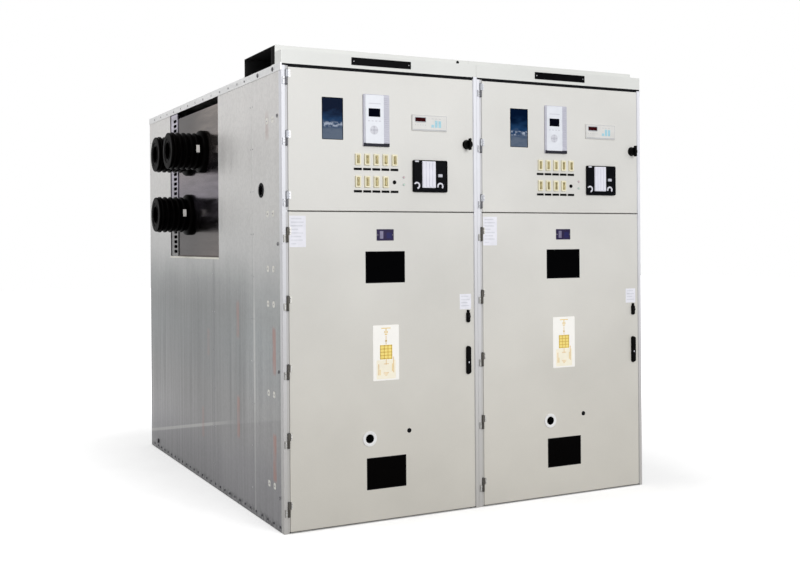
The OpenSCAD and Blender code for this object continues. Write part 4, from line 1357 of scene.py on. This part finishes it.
def rear_fasteners():
    """Bolts round the rear covers, which stand back from the rear edges of the sides."""
    piece = Piece("rear_bolts", REAR)
    cover = REAR.box("rear_covers")
    split = FRONT["left"].box("left_lower_door").b1 + 3
    margin, inset = 22, 24
    for start in (0, UNIT_W):
        for low, high in ((cover.b0, split), (split, cover.b1)):
            rows, span = max(2, round((high - low) / 260)), high - low - 2 * margin
            heights = [low + margin + span * step / rows for step in range(rows + 1)]
            spots = [(a, b) for a in (inset, UNIT_W - inset) for b in heights]
            spots += [(a, b) for a in range(204, 1100, 198) for b in (heights[0], heights[-1])]
            for a, b in spots:
                piece.hex_bolt((start + a, b), BOLT_R, cover.c1, zinc)
    piece.ride("cabinet")


def roof_fasteners():
    """Rows of bolts along the roof panels' joints."""
    piece = Piece("roof_bolts", ROOF)
    inset = 60
    for start in (0, UNIT_W):
        spots = [(a, b) for a in range(inset, UNIT_W, 216) for b in (504, 1202, 1250, 2820, 640)]
        spots += [(a, b) for b in range(760, 2800, 340) for a in (inset, UNIT_W - inset)]
        for a, b in spots:
            piece.hex_bolt((start + a, b), BOLT_R, 0.0, zinc)
    piece.ride("cabinet")


side_fasteners(LEFT, "left_side_fasteners", True)
side_fasteners(RIGHT, "right_side_fasteners", False)
angle_bolts(LEFT, "left_angle_bolts", 0.45)
angle_bolts(RIGHT, "right_angle_bolts", 0.0)
rear_fasteners()
roof_fasteners()


# ---------------------------------------------------------------- finishes of the CAD nodes

NODE_FINISHES = {
    base_paint: ["base_frames"],
    post_paint: ["corner_posts"],
    door_paint: ["frame_rails"],
    hinge_fixed: ["frame_hinges"],
    hinge_moving: [f"{side}_{level}_hinges" for side in UNITS for level in ("upper", "lower")],
    side_sheet: ["left_front_panel", "left_middle_panel", "left_rear_panel"],
    plain_sheet: ["right_side_panels", "dividing_walls"],
    wall_sheet: ["rear_covers", "instrument_compartments", "breaker_back_walls"],
    roof_sheet: ["roof_panels"],
    edge_sheet: ["roof_edge_angles"],
    header_paint: ["header_lower_fascias", "header_upper_fascias"],
    trunk_paint: ["wiring_trunk"],
    plate_sheet: ["bushing_plate"],
    rubber: ["cable_grommet"],
}
for finish, names in NODE_FINISHES.items():
    for name in names:
        for place in frame["nodes"][name].material_slots:
            place.link = "OBJECT"
            place.material = finish.material


# ---------------------------------------------------------------- camera, lights, floor


def staged(name, data, place=(0, 0, 0)):
    made = bpy.data.objects.new(name, data)
    made.location = place
    bpy.context.scene.collection.objects.link(made)
    return made


def camera():
    """The photograph's view: a long lens left of the front, moved down on its sensor."""
    data = bpy.data.cameras.new("camera")
    data.lens, data.sensor_width = 47.42, 36.0
    data.shift_y = -0.0539
    made = staged("camera", data, (-3.173, -6.656, 1.538))
    turn = Matrix.Rotation(math.radians(-27.04), 4, "Z")
    tip = Matrix.Rotation(math.radians(90), 4, "X")
    roll = Matrix.Rotation(-0.007, 4, "Z")
    made.rotation_euler = (turn @ tip @ roll).to_euler()
    bpy.context.scene.camera = made


def lamp(name, place, target, size, power):
    """A rectangular light at a place, turned to its target."""
    data = bpy.data.lights.new(name, "AREA")
    data.shape, data.energy = "RECTANGLE", power
    data.size, data.size_y = size
    made = staged(name, data, place)
    towards = Vector(target) - Vector(place)
    made.rotation_euler = towards.to_track_quat("-Z", "Y").to_euler()


def world():
    """White round the object, and dimmer as a light."""
    made = bpy.data.worlds.new("world")
    sky = Nodes(made, "Background")
    as_light, as_seen = 0.45, 1.0
    strength = sky.node("MapRange", {0: sky.seen(), 3: as_light, 4: as_seen}).outputs[0]
    sky.set(Color=WHITE, Strength=strength)
    bpy.context.scene.world = made


def floor():
    """A plain pale floor: it keeps the shadow and fades into the white round it."""
    data = bpy.data.meshes.new("floor")
    half = 30.0
    ends = [(-half, -half, 0), (half, -half, 0), (half, half, 0), (-half, half, 0)]
    data.from_pydata(ends, [], [(0, 1, 2, 3)])
    made = Finish("floor_shade", Roughness=0.9, Specular_IOR_Level=0.0)
    seen = made.seen()
    pale = made.cloudy(made.noise(3.0, 3.0), (247, 247, 247), 3)
    made.set(Base_Color=made.mix(seen, (0.35, 0.35, 0.35, 1), pale))
    squares = []
    for axis, half_size in ((0, half_w), (1, roof_end.y)):
        beyond = made.math("SUBTRACT", made.math("ABSOLUTE", made.part(axis)), half_size)
        squares.append(made.math("POWER", made.math("MAXIMUM", beyond, 0.0), 2.0))
    away = made.math("SQRT", made.math("ADD", *squares))
    glow = made.times(seen, made.times(made.fit(away, 0.0, 0.004), made.fit(away, 0.0, 2.6, 0.34)))
    made.set(Emission_Color=WHITE, Emission_Strength=glow)
    data.materials.append(made.material)
    staged("floor", data)


camera()
world()
floor()
lamp("key", (0.6, -9.0, 3.6), (0, -1.4, 1.5), (5.0, 2.6), 360)
lamp("side", (-5.0, 0.0, 4.9), (-1.2, 0.2, 2.0), (2.6, 1.6), 100)
lamp("spark", (0.5, -6.7, 3.4), (-1.3, 0.1, 2.0), (0.25, 0.4), 14)

bpy.context.scene.view_settings.view_transform = "Standard"
